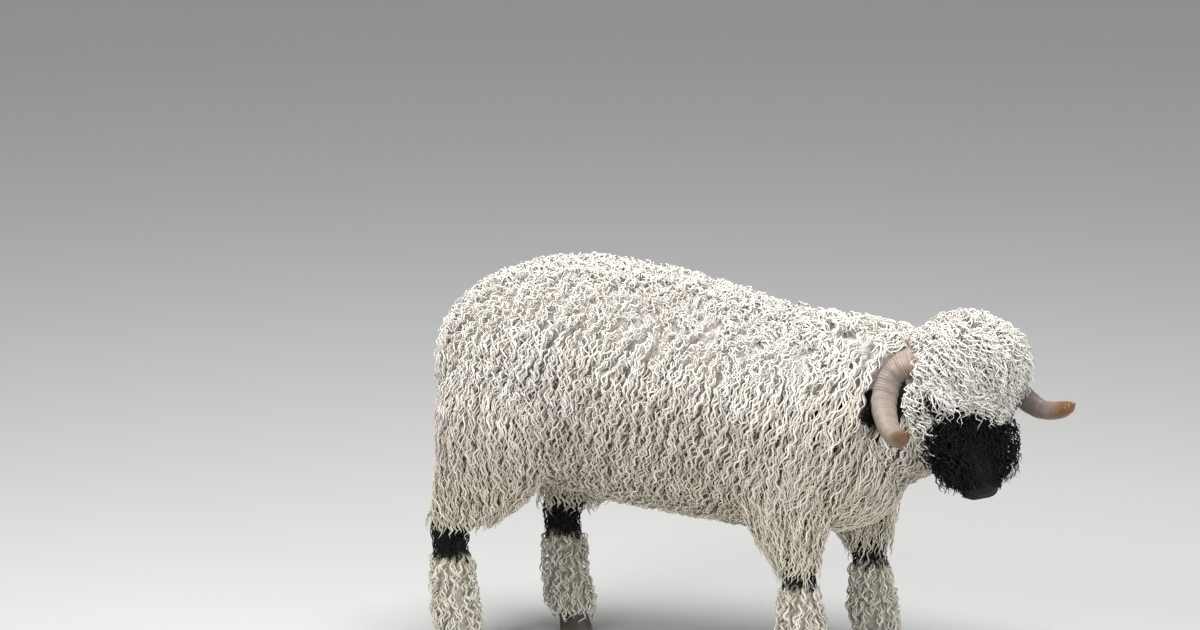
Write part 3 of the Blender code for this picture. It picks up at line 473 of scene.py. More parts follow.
def eyeAxes(side):  # centre, outward, along the lids, upright; all in the head frame
    angle = math.radians(eye["angle"])
    point = onFace(eye["level"], angle)
    roundIt = onFace(eye["level"], angle + 0.05) - onFace(eye["level"], angle - 0.05)
    upIt = onFace(eye["level"] + 0.004, angle) - onFace(eye["level"] - 0.004, angle)
    out = -unit(np.cross(roundIt, upIt))
    level = unit(np.cross((0, 0, 1), out))
    upright = np.cross(out, level)
    return [mirrored(v, side) for v in (point - out * eye["sunk"], out, level, upright)]


def lidGrid(side, height, forward):
    centre, out, level, upright = eyeAxes(side)
    angle = np.linspace(0, np.pi, 17)[:, None]
    path = centre + level * np.cos(angle) * eye["lidReach"] + upright * np.sin(angle) * height
    path = path + out * (eye["lidOut"] + forward * np.sin(angle))
    return fromHead(tubeGrid(path, eye["lid"] * (0.62 + 0.38 * np.sin(angle[:, 0])), 10, out))


def mouthPath(shift, grow=0.0, count=30):
    share = np.linspace(0, 1, count)
    level = mouth["corner"] + (mouth["end"] - mouth["corner"]) * share
    right = onFace(level, math.radians(mouth["angle"]) + shift - 0.10 * share, grow)
    return np.concatenate([right, mirrored(right, -1)[::-1]])


def headShapes():
    shapes = [headGrid(), earGrid(1, ear["tipRight"]), earGrid(-1, ear["tipLeft"])]
    for side in (1, -1):
        spot = onFace(browForm["level"], side * math.radians(browForm["angle"]))
        spot = spot - mirrored(browForm["inward"], side)
        shapes.append(fromHead(ballGrid(spot, browForm["halves"])))
        spot = onFace(cheekForm["level"], side * math.radians(cheekForm["angle"]), cheekForm["grow"])
        shapes.append(fromHead(ballGrid(spot, cheekForm["halves"])))
        spot = onFace(nostril["level"], side * math.radians(nostril["angle"]))
        spot = spot + np.array(nostril["wingShift"])
        shapes.append(fromHead(ballGrid(spot, nostril["wing"])))
        shapes += [lidGrid(side, height, forward) for height, forward in eye["lids"]]
    up = np.array((0.2, 0.3, 1.0))
    for shift, radius in mouth["lips"]:
        shapes.append(fromHead(tubeGrid(mouthPath(shift, 0.0008), np.full(60, radius), 10, up)))
    return shapes


def nearest(points, path):  # distance from each point to a line of closely set points
    best = np.full(len(points), 1e9)
    for spot in path:
        best = np.minimum(best, ((points - spot) ** 2).sum(1))
    return np.sqrt(best)


def carveFace(made):  # mouth line, nostrils, folds round the eyes, and the eyes' openings
    points, normals = toHead(pointsOf(made.data)), normalsOf(made.data) @ headTurn
    away = nearest(points, mouthPath(0.0, 0.002))
    points = points - normals * (mouth["depth"] * np.exp(-((away / mouth["groove"]) ** 2)))[:, None]
    for side in (1, -1):
        spot = onFace(nostril["level"], side * math.radians(nostril["angle"]), 0.004)
        line = spot + np.linspace(-1, 1, 9)[:, None] * mirrored(nostril["slant"], side)
        away = nearest(points, line)
        pit = nostril["depth"] * np.exp(-((away / nostril["width"]) ** 2))
        points = points - normals * pit[:, None]
        centre, out, level, upright = eyeAxes(side)
        a, b, c = ((points - centre) @ v for v in (level, upright, out))
        near = (c > -0.004) & (np.hypot(a, b) < eye["foldReach"])
        ring = np.hypot(a / eye["foldHalves"][0], (b + 0.001) / eye["foldHalves"][1])
        fold = sum(high * np.exp(-(((ring - at) / wide) ** 2)) for high, at, wide in eye["folds"])
        points = points - normals * np.where(near, fold, 0.0)[:, None]
        almond = 1 - (a / eye["opening"]) ** 2
        inside = near & (almond > 0)
        inside = inside & (b < eye["openAbove"] * almond) & (b > -eye["openBelow"] * almond)
        depth = np.sqrt(np.maximum((eye["radius"] - eye["skinBehind"]) ** 2 - a**2 - b**2, 1e-6))
        points[inside] += out * (depth - c)[inside, None]
    moveTo(made.data, fromHead(points))


limbs = (
    ("hind_right", hindLimb, -1, 0.0), ("hind_left", hindLimb, 1, hindLimb["swingLeft"]),
    ("fore_right", foreLimb, -1, 0.0), ("fore_left", foreLimb, 1, foreLimb["swingLeft"]),
)
grids = {"trunk": trunkGrid(), "neck": neckGrid(), "tail": tailGrid()}
for limbName, limb, side, swing in limbs:
    grids[limbName] = limbGrid(limb, side, swing)
for tuftName in crown:
    grids[tuftName] = fromHead(ballGrid(*crown[tuftName]))
grids["head"] = headGrid()
grids["earRight"] = earGrid(1, ear["tipRight"])
grids["earLeft"] = earGrid(-1, ear["tipLeft"])

bodyNames = ["trunk", "neck", "tail", "mop", "tuft"] + [limb[0] for limb in limbs]
bodySkin = voxelSkin("body_skin", [grids[name] for name in bodyNames], 0.0075, 8)
headSkin = voxelSkin("head_skin", headShapes(), 0.0017, 3)
carveFace(headSkin)
bodyTree, headTree = treeOf(bodySkin.data), treeOf(headSkin.data)
print("skin", len(bodySkin.data.polygons), len(headSkin.data.polygons))


def joinSkins():  # one closed skin from the body's and the head's
    weld = bodySkin.modifiers.new("weld", "BOOLEAN")
    weld.object = headSkin
    weld.operation = "UNION"
    weld.solver = "MANIFOLD"
    applied(bodySkin)
    bodySkin.name = "skin"
    bodySkin.data.name = "skin"
    bpy.data.objects.remove(headSkin, do_unlink=True)
    bodySkin.data.shade_smooth()
    return bodySkin


skin = joinSkins()
skinTree = treeOf(skin.data)  # ringlets rest on this one, so that they lie over the face
print("one skin", len(skin.data.polygons), "faces")


# Markings: black face, ears, knees and hocks.


def ripple(points, scale):  # a cheap wavy number between -1 and 1 over space
    x, y, z = (np.asarray(points) * scale).T
    first = np.sin(x + 1.7 * np.sin(y * 0.8 + z))
    second = np.sin(y * 1.3 + 1.1 * np.sin(z * 0.9 + x))
    return (first + second + np.sin(z * 1.1 + x * 0.7)) / 3


templeLine = {"top": -0.028, "beside": 0.030, "back": -0.042, "slope": 0.25, "pivot": -0.06, "bottom": -0.112}
blackFace = {"top": 0.020, "margin": 0.012, "within": 1.25}
blackEar = {"from": 0.094, "middle": -0.04, "halfHeight": 0.06, "front": -0.03, "back": -0.19}


def atTemple(x, y, z):  # where white wool takes over from the black, beside and behind the eyes
    behind = y < templeLine["back"] + templeLine["slope"] * (z - templeLine["pivot"])
    return (z > templeLine["top"]) | ((abs(x) > templeLine["beside"]) & behind & (z > templeLine["bottom"]))


def blackAt(points):  # 1 on black wool, 0 on white
    points = np.asarray(points)
    own = points - origin
    black = np.zeros(len(points))
    for name, limb, side, swing in limbs:
        low, high = limb["joint"]
        x = limbLine(limb, own[:, 2], swing)[0]
        near = (np.abs(own[:, 0] - x) < 0.085) & (own[:, 1] * side > 0.04)
        edge = own[:, 2] + 0.010 * ripple(points, 60)
        patch = smooth(edge, low - 0.004, low + 0.006) * (1 - smooth(edge, high - 0.006, high + 0.004))
        black = np.maximum(black, np.where(near, patch, 0.0))
    x, y, z = toHead(points).T
    front, back, halfWidth = through(head["rows"], z).T
    halfDepth = (front - back) / 2 + blackFace["margin"]
    fromMiddle = np.hypot(x / (halfWidth + blackFace["margin"]), (y - (front + back) / 2) / halfDepth)
    onHead = (fromMiddle < blackFace["within"]) & (z < blackFace["top"]) & ~atTemple(x, y, z)
    onEar = (np.abs(x) > blackEar["from"]) & (np.abs(z - blackEar["middle"]) < blackEar["halfHeight"])
    onEar = onEar & (y < blackEar["front"]) & (y > blackEar["back"])
    return np.maximum(black, np.where(onHead | onEar, 1.0, 0.0))


def setValues(mesh, name, values):
    layer = mesh.attributes.new(name, "FLOAT", "POINT")
    layer.data.foreach_set("value", np.asarray(values, np.float32))


setValues(skin.data, "black", blackAt(pointsOf(skin.data)))


# Node helpers and shared effects.


def newMaterial(name):
    made = bpy.data.materials.new(name)
    made.use_nodes = True
    tree = made.node_tree
    return made, tree, tree.nodes["Principled BSDF"]


def feed(tree, made, inputs):  # a socket is linked, anything else is set as a value
    for key, value in inputs.items():
        if isinstance(value, bpy.types.NodeSocket):
            tree.links.new(value, made.inputs[key])
        else:
            made.inputs[key].default_value = value
    return made


def addNode(tree, kind, inputs=None, **settings):
    made = tree.nodes.new(kind)
    for key, value in settings.items():
        setattr(made, key, value)
    return feed(tree, made, inputs or {})


def mixColour(tree, factor, first, second, blend="MIX"):
    made = tree.nodes.new("ShaderNodeMix")
    made.data_type = "RGBA"
    made.blend_type = blend
    return feed(tree, made, {0: factor, 6: first, 7: second}).outputs[2]


def doMath(tree, operation, *values):
    return addNode(tree, "ShaderNodeMath", dict(enumerate(values)), operation=operation).outputs[0]


def inRange(tree, value, fromMin, fromMax, toMin=0.0, toMax=1.0):
    limits = {"From Min": fromMin, "From Max": fromMax, "To Min": toMin, "To Max": toMax}
    return addNode(tree, "ShaderNodeMapRange", {"Value": value, **limits}).outputs[0]


def noiseAt(tree, place, scale, detail):
    look = {"Vector": place, "Scale": scale, "Detail": detail}
    return addNode(tree, "ShaderNodeTexNoise", look).outputs["Fac"]


def attributeOf(tree, name, output="Fac"):
    return addNode(tree, "ShaderNodeAttribute", attribute_name=name).outputs[output]


def placeOf(tree):
    return addNode(tree, "ShaderNodeTexCoord").outputs["Object"]


def heightOf(tree, place):
    return addNode(tree, "ShaderNodeSeparateXYZ", {"Vector": place}).outputs["Z"]


def bumped(tree, shader, height, strength, distance):
    bump = addNode(tree, "ShaderNodeBump", {"Height": height, "Strength": strength, "Distance": distance})
    tree.links.new(bump.outputs["Normal"], shader.inputs["Normal"])


def newGroup(name, inputs, outputs):
    group = bpy.data.node_groups.new(name, "ShaderNodeTree")
    for label, kind, value in inputs:
        socket = group.interface.new_socket(label, in_out="INPUT", socket_type=kind)
        socket.default_value = value
    for label, kind in outputs:
        group.interface.new_socket(label, in_out="OUTPUT", socket_type=kind)
    return group, group.nodes.new("NodeGroupInput"), group.nodes.new("NodeGroupOutput")


def placeGroup(tree, group, inputs=None):
    made = tree.nodes.new("ShaderNodeGroup")
    made.node_tree = group
    return feed(tree, made, inputs or {})


def woolTintGroup():  # cream wool: whitest on back and shanks, rosy in the middle, yellower low down
    group, given, result = newGroup(
        "wool tint",
        [("Clean", "NodeSocketColor", (0.86, 0.83, 0.77, 1)),
         ("Rosy", "NodeSocketColor", (0.76, 0.66, 0.57, 1)),
         ("Yellow", "NodeSocketColor", (0.72, 0.61, 0.42, 1)), ("Top", "NodeSocketFloat", 0.74),
         ("Bottom", "NodeSocketFloat", 0.30)],
        [("Color", "NodeSocketColor")],
    )
    clean, rosy, yellow = (given.outputs[name] for name in ("Clean", "Rosy", "Yellow"))
    place = placeOf(group)
    height = heightOf(group, place)
    shifted = doMath(group, "MULTIPLY_ADD", noiseAt(group, place, 7.0, 3.0), 0.24, height)
    share = inRange(group, shifted, given.outputs["Bottom"], given.outputs["Top"])
    low = inRange(group, share, 0.0, 0.62)
    high = inRange(group, share, 0.72, 1.12)
    shank = inRange(group, height, 0.27, 0.17, 0.0, 0.6)
    body = mixColour(group, high, mixColour(group, low, yellow, rosy), clean)
    group.links.new(mixColour(group, shank, body, clean), result.inputs["Color"])
    return group


def fibreGroup():  # fine fibres that run along a lock, as a height for a bump
    group, given, result = newGroup(
        "fibres", [("Across", "NodeSocketFloat", 3.5), ("Along", "NodeSocketFloat", 1.2)],
        [("Height", "NodeSocketFloat")],
    )
    parts = addNode(group, "ShaderNodeSeparateXYZ", {"Vector": attributeOf(group, "fibre", "Vector")})
    stretch = {"X": given.outputs["Across"], "Y": given.outputs["Across"], "Z": given.outputs["Along"]}
    scaled = {axis: doMath(group, "MULTIPLY", parts.outputs[axis], stretch[axis]) for axis in "XYZ"}
    place = addNode(group, "ShaderNodeCombineXYZ", scaled).outputs[0]
    group.links.new(noiseAt(group, place, 1.0, 2.0), result.inputs["Height"])
    return group


woolTint, fibres = woolTintGroup(), fibreGroup()


woolLook = {
    "dull": (0.80, 0.76, 0.69, 1), "bright": (1.10, 1.09, 1.07, 1),  # from lock to lock
    # painted shade: the lower part of each lock is darkened as in the gaps between locks, darkest and
    # yellowest low on the body
    "rootShadeLow": (0.64, 0.58, 0.46, 1), "rootShadeHigh": (0.86, 0.83, 0.79, 1), "rootShadeHeights": (0.40, 0.70),
    "rootShadeShare": 0.5, "bump": 0.45, "bumpDepth": 0.0012,
}


def woolMaterial(name, clean, rosy, yellow, sheen):
    made, tree, shader = newMaterial(name)
    tint = placeGroup(tree, woolTint, {"Clean": clean, "Rosy": rosy, "Yellow": yellow}).outputs["Color"]
    toned = mixColour(tree, attributeOf(tree, "tone"), woolLook["dull"], woolLook["bright"])
    lit = mixColour(tree, 1.0, tint, toned, "MULTIPLY")
    # painted shade at the lock roots, darker and yellower low on the body, fading out along the lock
    above = inRange(tree, heightOf(tree, placeOf(tree)), *woolLook["rootShadeHeights"])
    root = mixColour(tree, above, woolLook["rootShadeLow"], woolLook["rootShadeHigh"])
    rise = inRange(tree, attributeOf(tree, "along"), 0.0, woolLook["rootShadeShare"])
    rooted = mixColour(tree, rise, root, (1.0, 1.0, 1.0, 1))
    tree.links.new(mixColour(tree, 1.0, lit, rooted, "MULTIPLY"), shader.inputs["Base Color"])
    bumped(tree, shader, placeGroup(tree, fibres).outputs["Height"], woolLook["bump"], woolLook["bumpDepth"])
    shader.inputs["Roughness"].default_value = 0.72
    shader.inputs["Specular IOR Level"].default_value = 0.35
    shader.inputs["Sheen Weight"].default_value = sheen
    shader.inputs["Sheen Roughness"].default_value = 0.5
    return made


def blackWoolMaterial():
    made, tree, shader = newMaterial("black wool")
    tone = attributeOf(tree, "tone")
    colour = mixColour(tree, tone, (0.0020, 0.0020, 0.0024, 1), (0.006, 0.006, 0.007, 1))
    tipped = mixColour(tree, attributeOf(tree, "along"), colour, (0.008, 0.008, 0.009, 1))
    tree.links.new(tipped, shader.inputs["Base Color"])
    bumped(tree, shader, placeGroup(tree, fibres).outputs["Height"], 0.4, 0.0008)
    shader.inputs["Roughness"].default_value = 0.62
    shader.inputs["Specular IOR Level"].default_value = 0.18
    shader.inputs["Sheen Weight"].default_value = 0.0
    return made


underWoolTint = {
    "Clean": (0.90, 0.895, 0.88, 1), "Rosy": (0.76, 0.71, 0.66, 1), "Yellow": (0.70, 0.65, 0.53, 1),
}


def skinMaterial():  # dense under wool on the body, short black hair on the face
    made, tree, shader = newMaterial("skin and under wool")
    tint = placeGroup(tree, woolTint, underWoolTint).outputs["Color"]
    shaded = mixColour(tree, 1.0, tint, (0.76, 0.74, 0.72, 1), "MULTIPLY")
    place = placeOf(tree)
    fuzz, hair = noiseAt(tree, place, 260.0, 4.0), noiseAt(tree, place, 900.0, 2.0)
    mottled = mixColour(tree, fuzz, (0.55, 0.53, 0.49, 1), (1.15, 1.15, 1.15, 1))
    wool = mixColour(tree, 1.0, shaded, mottled, "MULTIPLY")
    dark = mixColour(tree, hair, (0.002, 0.002, 0.0025, 1), (0.008, 0.008, 0.009, 1))
    black = attributeOf(tree, "black")
    tree.links.new(mixColour(tree, black, wool, dark), shader.inputs["Base Color"])
    tree.links.new(inRange(tree, black, 0.0, 1.0, 0.9, 0.6), shader.inputs["Roughness"])
    bumped(tree, shader, doMath(tree, "ADD", fuzz, hair), 0.5, 0.0016)
    shader.inputs["Specular IOR Level"].default_value = 0.22
    shader.inputs["Sheen Weight"].default_value = 0.01
    return made


fleeceWool = woolMaterial(
    "fleece wool",
    (0.92, 0.915, 0.90, 1), (0.77, 0.73, 0.68, 1), (0.80, 0.765, 0.62, 1), 0.25,
)
crownWool = woolMaterial(
    "crown wool",
    (0.96, 0.95, 0.935, 1), (0.94, 0.925, 0.90, 1), (0.86, 0.83, 0.76, 1), 0.25,
)
blackWool = blackWoolMaterial()
skin.data.materials.clear()
skin.data.materials.append(skinMaterial())


# The coat: locks of wool as closed three-sided strands, a few to each root.

coatAtlas = {  # where each shape's unwrap lies: left, bottom, width, height
    "trunk": (0.00, 0.00, 0.60, 0.62), "neck": (0.00, 0.63, 0.36, 0.24), "mop": (0.37, 0.63, 0.13, 0.24),
    "tuft": (0.505, 0.63, 0.09, 0.24),
    "head": (0.61, 0.70, 0.19, 0.30), "tail": (0.50, 0.88, 0.10, 0.12),
    "earRight": (0.81, 0.86, 0.09, 0.14), "earLeft": (0.91, 0.86, 0.09, 0.14),
    "hind_right": (0.61, 0.35, 0.18, 0.34), "hind_left": (0.80, 0.35, 0.18, 0.34),
    "fore_right": (0.61, 0.00, 0.18, 0.34), "fore_left": (0.80, 0.00, 0.18, 0.34),
}
coatAtlas = {name: np.array(place) for name, place in coatAtlas.items()}


def spreadRoots(name, tree, gap, seed, limit=0.007):  # places a gap apart, on the outside of the skin only
    rng = np.random.default_rng(seed)
    grid = grids[name]
    rings, sides = grid.shape[:2]
    following = np.roll(grid, -1, axis=1)
    a, b, c, d = grid[:-1], following[:-1], following[1:], grid[1:]
    areas = 0.5 * np.linalg.norm(np.cross(c - a, d - b), axis=-1).ravel()
    count = int(6 * areas.sum() / gap**2)
    chosen = rng.choice(len(areas), size=count, p=areas / areas.sum())
    k, i = chosen // sides, chosen % sides
    u, v = rng.random((2, count))
    low = a[k, i] + (b[k, i] - a[k, i]) * u[:, None]
    high = d[k, i] + (c[k, i] - d[k, i]) * u[:, None]
    spots = low + (high - low) * v[:, None]
    left, bottom, width, height = coatAtlas[name]
    unwrap = np.stack([left + width * (i + u) / sides, bottom + height * (k + v) / (rings - 1)], -1)
    cells, roots = {}, []
    for spot, patch in zip(spots, unwrap):
        cell = tuple(np.floor(spot / gap).astype(int))
        near = [
            p for dx in (-1, 0, 1) for dy in (-1, 0, 1) for dz in (-1, 0, 1)
            for p in cells.get((cell[0] + dx, cell[1] + dy, cell[2] + dz), ())
        ]
        x, y, z = spot
        if any((p[0] - x) ** 2 + (p[1] - y) ** 2 + (p[2] - z) ** 2 < gap * gap for p in near):
            continue
        cells.setdefault(cell, []).append(spot)
        hit, normal, _, distance = tree.find_nearest(spot)
        if distance < limit:
            roots.append((hit, normal, patch))
    return roots


def lyingAlong(normal, towards):
    flat = towards - normal * towards.dot(normal)
    return flat.normalized() if flat.length > 1e-4 else normal.orthogonal().normalized()


def walkDown(tree, spot, normal, towards, length, cling, steps=6):  # the line that a lock lies along
    here, way = spot.copy(), normal.copy()
    line, outs = [], []
    for _ in range(steps + 1):
        line.append(tuple(here))
        outs.append(tuple(way))
        hang = max(0.0, min(1.0, (-normal.z - 0.15) / 0.5)) * (1 - cling)
        straightDown = Vector((towards.x * 0.3, towards.y * 0.3, -1.0))
        lie = lyingAlong(way, towards).lerp(straightDown, hang).normalized()
        here = here + lie * (length / steps)
        hit, normal, _, distance = tree.find_nearest(here)
        if (here - hit).dot(normal) < 0:
            here = hit
        else:
            here = here.lerp(hit, cling)
        way = way.lerp(normal, 0.55 if cling > 0.5 else 0.25).normalized()
    return line, outs


def staplesFrom(roots, tree, wool, seed):  # wool gives each root's way and sizes, or nothing where none grows
    rng = np.random.default_rng(seed)
    columns = {"line": [], "out": [], "unwrap": [], "sizes": []}
    for spot, normal, patch in roots:
        sizes = wool(spot, normal, rng)
        if sizes is None:
            continue
        towards, cling, numbers = sizes
        line, outs = walkDown(tree, spot, normal, towards, numbers[0], cling)
        columns["line"].append(line)
        columns["out"].append(outs)
        columns["unwrap"].append(patch)
        columns["sizes"].append(numbers)
    return {key: np.array(value, float) for key, value in columns.items()}


def alongLines(lines, at):  # points on smooth curves through each line's points
    last = lines.shape[1] - 1
    x = np.clip(at, 0, 0.99999) * last
    i = x.astype(int)
    f = (x - i)[..., None]
    rows = np.arange(len(lines))[:, None]
    p0, p1 = lines[rows, np.maximum(i - 1, 0)], lines[rows, i]
    p2, p3 = lines[rows, i + 1], lines[rows, np.minimum(i + 2, last)]
    return 0.5 * (
        2 * p1 + (p2 - p0) * f + (2 * p0 - 5 * p1 + 4 * p2 - p3) * f**2 + (3 * p1 - p0 - 3 * p2 + p3) * f**3
    )


def hornLine(side, count=60):  # the middle of a horn and its radius
    x, y, z, radius = through(horn["rows"], np.linspace(0, 1, count)).T
    return fromHead(mirrored(np.stack([x, y, z], -1), side)), radius


def besideHorns(lines, moat):  # True for lines of points that come too near to the bare part of a horn
    close = np.zeros(len(lines), bool)
    for side, bareFrom in ((1, horn["bareRight"]), (-1, horn["bareLeft"])):
        path, radius = hornLine(side)
        for k in range(int(bareFrom * len(path)), len(path)):
            near = ((lines - path[k]) ** 2).sum(-1).min(1) < (radius[k] + moat) ** 2
            close |= near
    return close


def keptStaples(staples, moat):  # without the locks that would lie on a horn
    lifted = staples["line"] + staples["out"] * (staples["sizes"][:, 2] * 0.6)[:, None, None]
    keep = ~(besideHorns(lifted, moat) | besideHorns(staples["line"], moat * 0.5))
    return {key: value[keep] for key, value in staples.items()}


strand = {  # how strands of one staple differ: lowest and highest share
    "reach": (0.70, 1.0), "wave": (0.85, 1.2), "swing": (0.65, 1.2), "width": (0.75, 1.2), "dip": (-0.3, 1.0),
    "phaseRate": 2.2, "phaseScale": 38, "upright": 0.30, "dipFrom": 0.55, "dipRate": 4.9, "roll": 0.35,
}


def layLocks(name, staples, shape, finish, seed):  # one coat piece
    rng = np.random.default_rng(seed)
    pick = np.repeat(np.arange(len(staples["sizes"])), shape["strands"])
    count, rings = len(pick), shape["rings"]
    length, width, height, wave, swing, coil = (staples["sizes"][pick, k][:, None] for k in range(6))
    t = np.linspace(0, 1, rings + 1)[None]
    reach = rng.uniform(*strand["reach"], (count, 1))
    at = t * reach
    line, out = alongLines(staples["line"][pick], at), unit(alongLines(staples["out"][pick], at))
    lie = unit(np.gradient(line, axis=1))
    side = unit(np.cross(out, lie))
    out = np.cross(lie, side)
    jitter = rng.normal(0, shape["disorder"], (count, 1))
    spread = ripple(staples["line"][pick, 0], strand["phaseScale"])[:, None]
    phase = strand["phaseRate"] * spread * np.pi + jitter
    turn = 2 * np.pi * at * length / (wave * rng.uniform(*strand["wave"], (count, 1))) + phase
    grown = smooth(t, 0.0, 0.32)
    swing = swing * rng.uniform(*strand["swing"], (count, 1)) * grown
    level = rng.uniform(shape["lowest"], 1.0, (count, 1))
    rise = np.sin(np.minimum(t / strand["upright"], 1.0) * np.pi / 2)
    up = -shape["sink"] + (height * level + shape["sink"]) * rise
    dip = height * shape["tipDip"] * np.maximum(t - strand["dipFrom"], 0) ** 2 * strand["dipRate"]
    up = up - dip * rng.uniform(*strand["dip"], (count, 1))
    lean = rng.normal(0, shape["lean"], (count, 1)) * at * length
    across = shape["spread"] * rng.uniform(-1, 1, (count, 1)) * (1 - 0.6 * t) + lean + swing * np.sin(turn)
    centre = line + out * (up + coil * swing * np.cos(turn))[..., None] + side * across[..., None]
    ahead = unit(np.gradient(centre, axis=1))
    side = unit(np.cross(out, ahead))
    out = np.cross(ahead, side)
    full = (0.5 + 0.5 * smooth(t, 0.0, 0.25)) * (1 - 0.55 * smooth(t, 0.55, 1.0))
    half = width / 2 * rng.uniform(*strand["width"], (count, 1)) * full
    roll = rng.normal(0, strand["roll"], (count, 1))
    corners = []
    for k in range(3):
        angle = np.pi / 2 + 2 * np.pi * k / 3 + roll
        beside, above = np.cos(angle) * half, np.sin(angle) * half * shape["flat"]
        corners.append(centre + side * beside[..., None] + out * above[..., None])
    walls = np.stack(corners, 2)[:, :rings]  # strand, ring, corner, xyz
    points = np.concatenate([walls.reshape(count, -1, 3), centre[:, rings][:, None]], 1)
    return strandMesh(name, points, staples["unwrap"][pick], t[0], length, rng, rings, finish)


def strandMesh(name, points, unwrap, t, length, rng, rings, finish):
    count, each = points.shape[:2]
    tip = each - 1
    faces, patch = [(0, 2, 1)], [((0.0, 0.0), (0.0, 0.01), (0.01, 0.0))]
    for k in range(rings - 1):
        for i in range(3):
            j = (i + 1) % 3
            a, b, c, d = 3 * k + i, 3 * k + j, 3 * k + 3 + j, 3 * k + 3 + i
            u0, u1, v0, v1 = i / 3, (i + 1) / 3, k / rings, (k + 1) / rings
            faces += [(a, b, c), (a, c, d)]
            patch += [((u0, v0), (u1, v0), (u1, v1)), ((u0, v0), (u1, v1), (u0, v1))]
    for i in range(3):
        faces.append((3 * (rings - 1) + i, 3 * (rings - 1) + (i + 1) % 3, tip))
        patch.append(((i / 3, 1 - 1 / rings), ((i + 1) / 3, 1 - 1 / rings), ((i + 0.5) / 3, 1.0)))
    corners = (np.array(faces)[None] + (np.arange(count) * each)[:, None, None]).reshape(-1)
    uvs = (np.array(patch)[None] - 0.5) * 0.003 + unwrap[:, None, None]
    mesh = bpy.data.meshes.new(name)
    mesh.vertices.add(count * each)
    mesh.vertices.foreach_set("co", points.astype(np.float32).ravel())
    mesh.loops.add(len(corners))
    mesh.loops.foreach_set("vertex_index", corners.astype(np.int32))
    mesh.polygons.add(len(corners) // 3)
    mesh.polygons.foreach_set("loop_start", np.arange(0, len(corners), 3, dtype=np.int32))
    mesh.polygons.foreach_set("use_smooth", np.ones(len(corners) // 3, bool))
    layer = mesh.uv_layers.new(name="OFBake")
    layer.data.foreach_set("uv", np.clip(uvs, 0, 1).astype(np.float32).ravel())
    mesh.update(calc_edges=True)
    ringShare = np.append(np.repeat(t[:rings], 3), 1.0)
    setValues(mesh, "along", np.tile(ringShare, count))
    setValues(mesh, "tone", np.repeat(rng.random(count), each))
    angle = np.append(np.tile(2 * np.pi * np.arange(3) / 3, rings), 0.0)
    fibre = np.stack([np.tile(np.cos(angle), count), np.tile(np.sin(angle), count),
                      (ringShare[None] * length * 100 + rng.uniform(0, 90, (count, 1))).ravel()], -1)
    layer = mesh.attributes.new("fibre", "FLOAT_VECTOR", "POINT")
    layer.data.foreach_set("vector", fibre.astype(np.float32).ravel())
    mesh.materials.append(finish)
    made = bpy.data.objects.new(name, mesh)
    bpy.context.scene.collection.objects.link(made)
    print(name, count, "strands", len(corners) // 3, "triangles")
    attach(made, "root")
    return made


# Fleece: wool(spot, normal, rng) gives the way a lock lies, how closely it clings, and its sizes.

sizeNames = ("length", "width", "height", "wave", "swing", "coil")
fleeceShape = {
    "strands": 3, "rings": 9, "disorder": 0.55, "lowest": 0.40, "sink": 0.004, "tipDip": 0.45,
    "lean": 0.10, "spread": 0.0065, "flat": 0.62,
}
fleece = {
    "gap": 0.0119, "cling": 0.55, "spineHalf": 0.045,
    "length": 0.064, "width": 0.0046, "height": 0.033, "wave": 0.025, "swing": 0.0044, "coil": 0.55,
}
spineLock = {
    "gap": 0.0165, "cling": 0.7, "reach": 0.065, "levelFrom": 0.80,
    "length": 0.046, "width": 0.0052, "height": 0.026, "wave": 0.019, "swing": 0.0050, "coil": 0.9,
}
limbLock = {
    "gap": 0.0118, "cling": 0.35, "lowest": 0.052, "overJoint": 0.004,
    "width": 0.0046, "height": 0.024, "wave": 0.030, "swing": 0.0040, "coil": 0.55,
}
shankLock = {**limbLock, "length": 0.040, "height": 0.017, "wave": 0.023, "clearOfFloor": 0.012}
neckLock = {
    "gap": 0.0130, "cling": 0.45, "spineHalf": 0.040, "spineY": -0.02, "shorterOnTop": 0.020,
    "length": 0.082, "width": 0.0050, "height": 0.032, "wave": 0.030, "swing": 0.0043, "coil": 0.6,
}
tailLock = {
    "gap": 0.0110, "cling": 0.3,
    "length": 0.060, "width": 0.0054, "height": 0.020, "wave": 0.026, "swing": 0.0045, "coil": 0.6,
}
originVector = Vector(origin)


def sizesOf(lock, **changed):  # the six sizes of one lock
    whole = {**lock, **changed}
    return tuple(whole[name] for name in sizeNames)


def spun(towards, normal, spin):
    towards.rotate(Matrix.Rotation(spin, 3, normal))
    return towards


def trunkWool(spot, normal, rng):
    own = spot - originVector
    high = smooth(normal.z, 0.30, 0.85)
    front = smooth(own.x, 0.10, 0.38)
    under = smooth(-normal.z, 0.35, 0.8)
    onSpine = math.exp(-((own.y / fleece["spineHalf"]) ** 2)) * high  # wool on the spine lies every way
    spin = rng.normal(0, 0.14 + 0.50 * high + 1.1 * onSpine)
    spin = spin + 0.16 * math.sin(own.x * 37 + 3 * math.sin(own.z * 23))
    towards = Vector((-0.30 - 0.25 * high, 0.5 * math.tanh(own.y / 0.05), -1.0 + 0.9 * onSpine))
    return spun(towards, normal, spin), fleece["cling"], sizesOf(
        fleece,
        length=fleece["length"] * (1 - 0.30 * high + 0.28 * front - 0.22 * under),
        width=fleece["width"] * (1 - 0.18 * high + 0.06 * front),
        height=fleece["height"] * (1 - 0.12 * high - 0.30 * high * smooth(own.x, -0.02, 0.22)),
        wave=fleece["wave"] * (1 - 0.36 * high + 0.22 * front),
        swing=fleece["swing"] * (1 - 0.08 * high - 0.18 * front),
        coil=fleece["coil"] + 0.35 * high,
    )


def spineWool(spot, normal, rng):  # short curls that lie every way and close the parting
    if normal.z < spineLock["levelFrom"] or abs(spot.y - origin[1]) > spineLock["reach"]:
        return None
    return Vector((rng.normal(), rng.normal(), -0.2)), spineLock["cling"], sizesOf(spineLock)


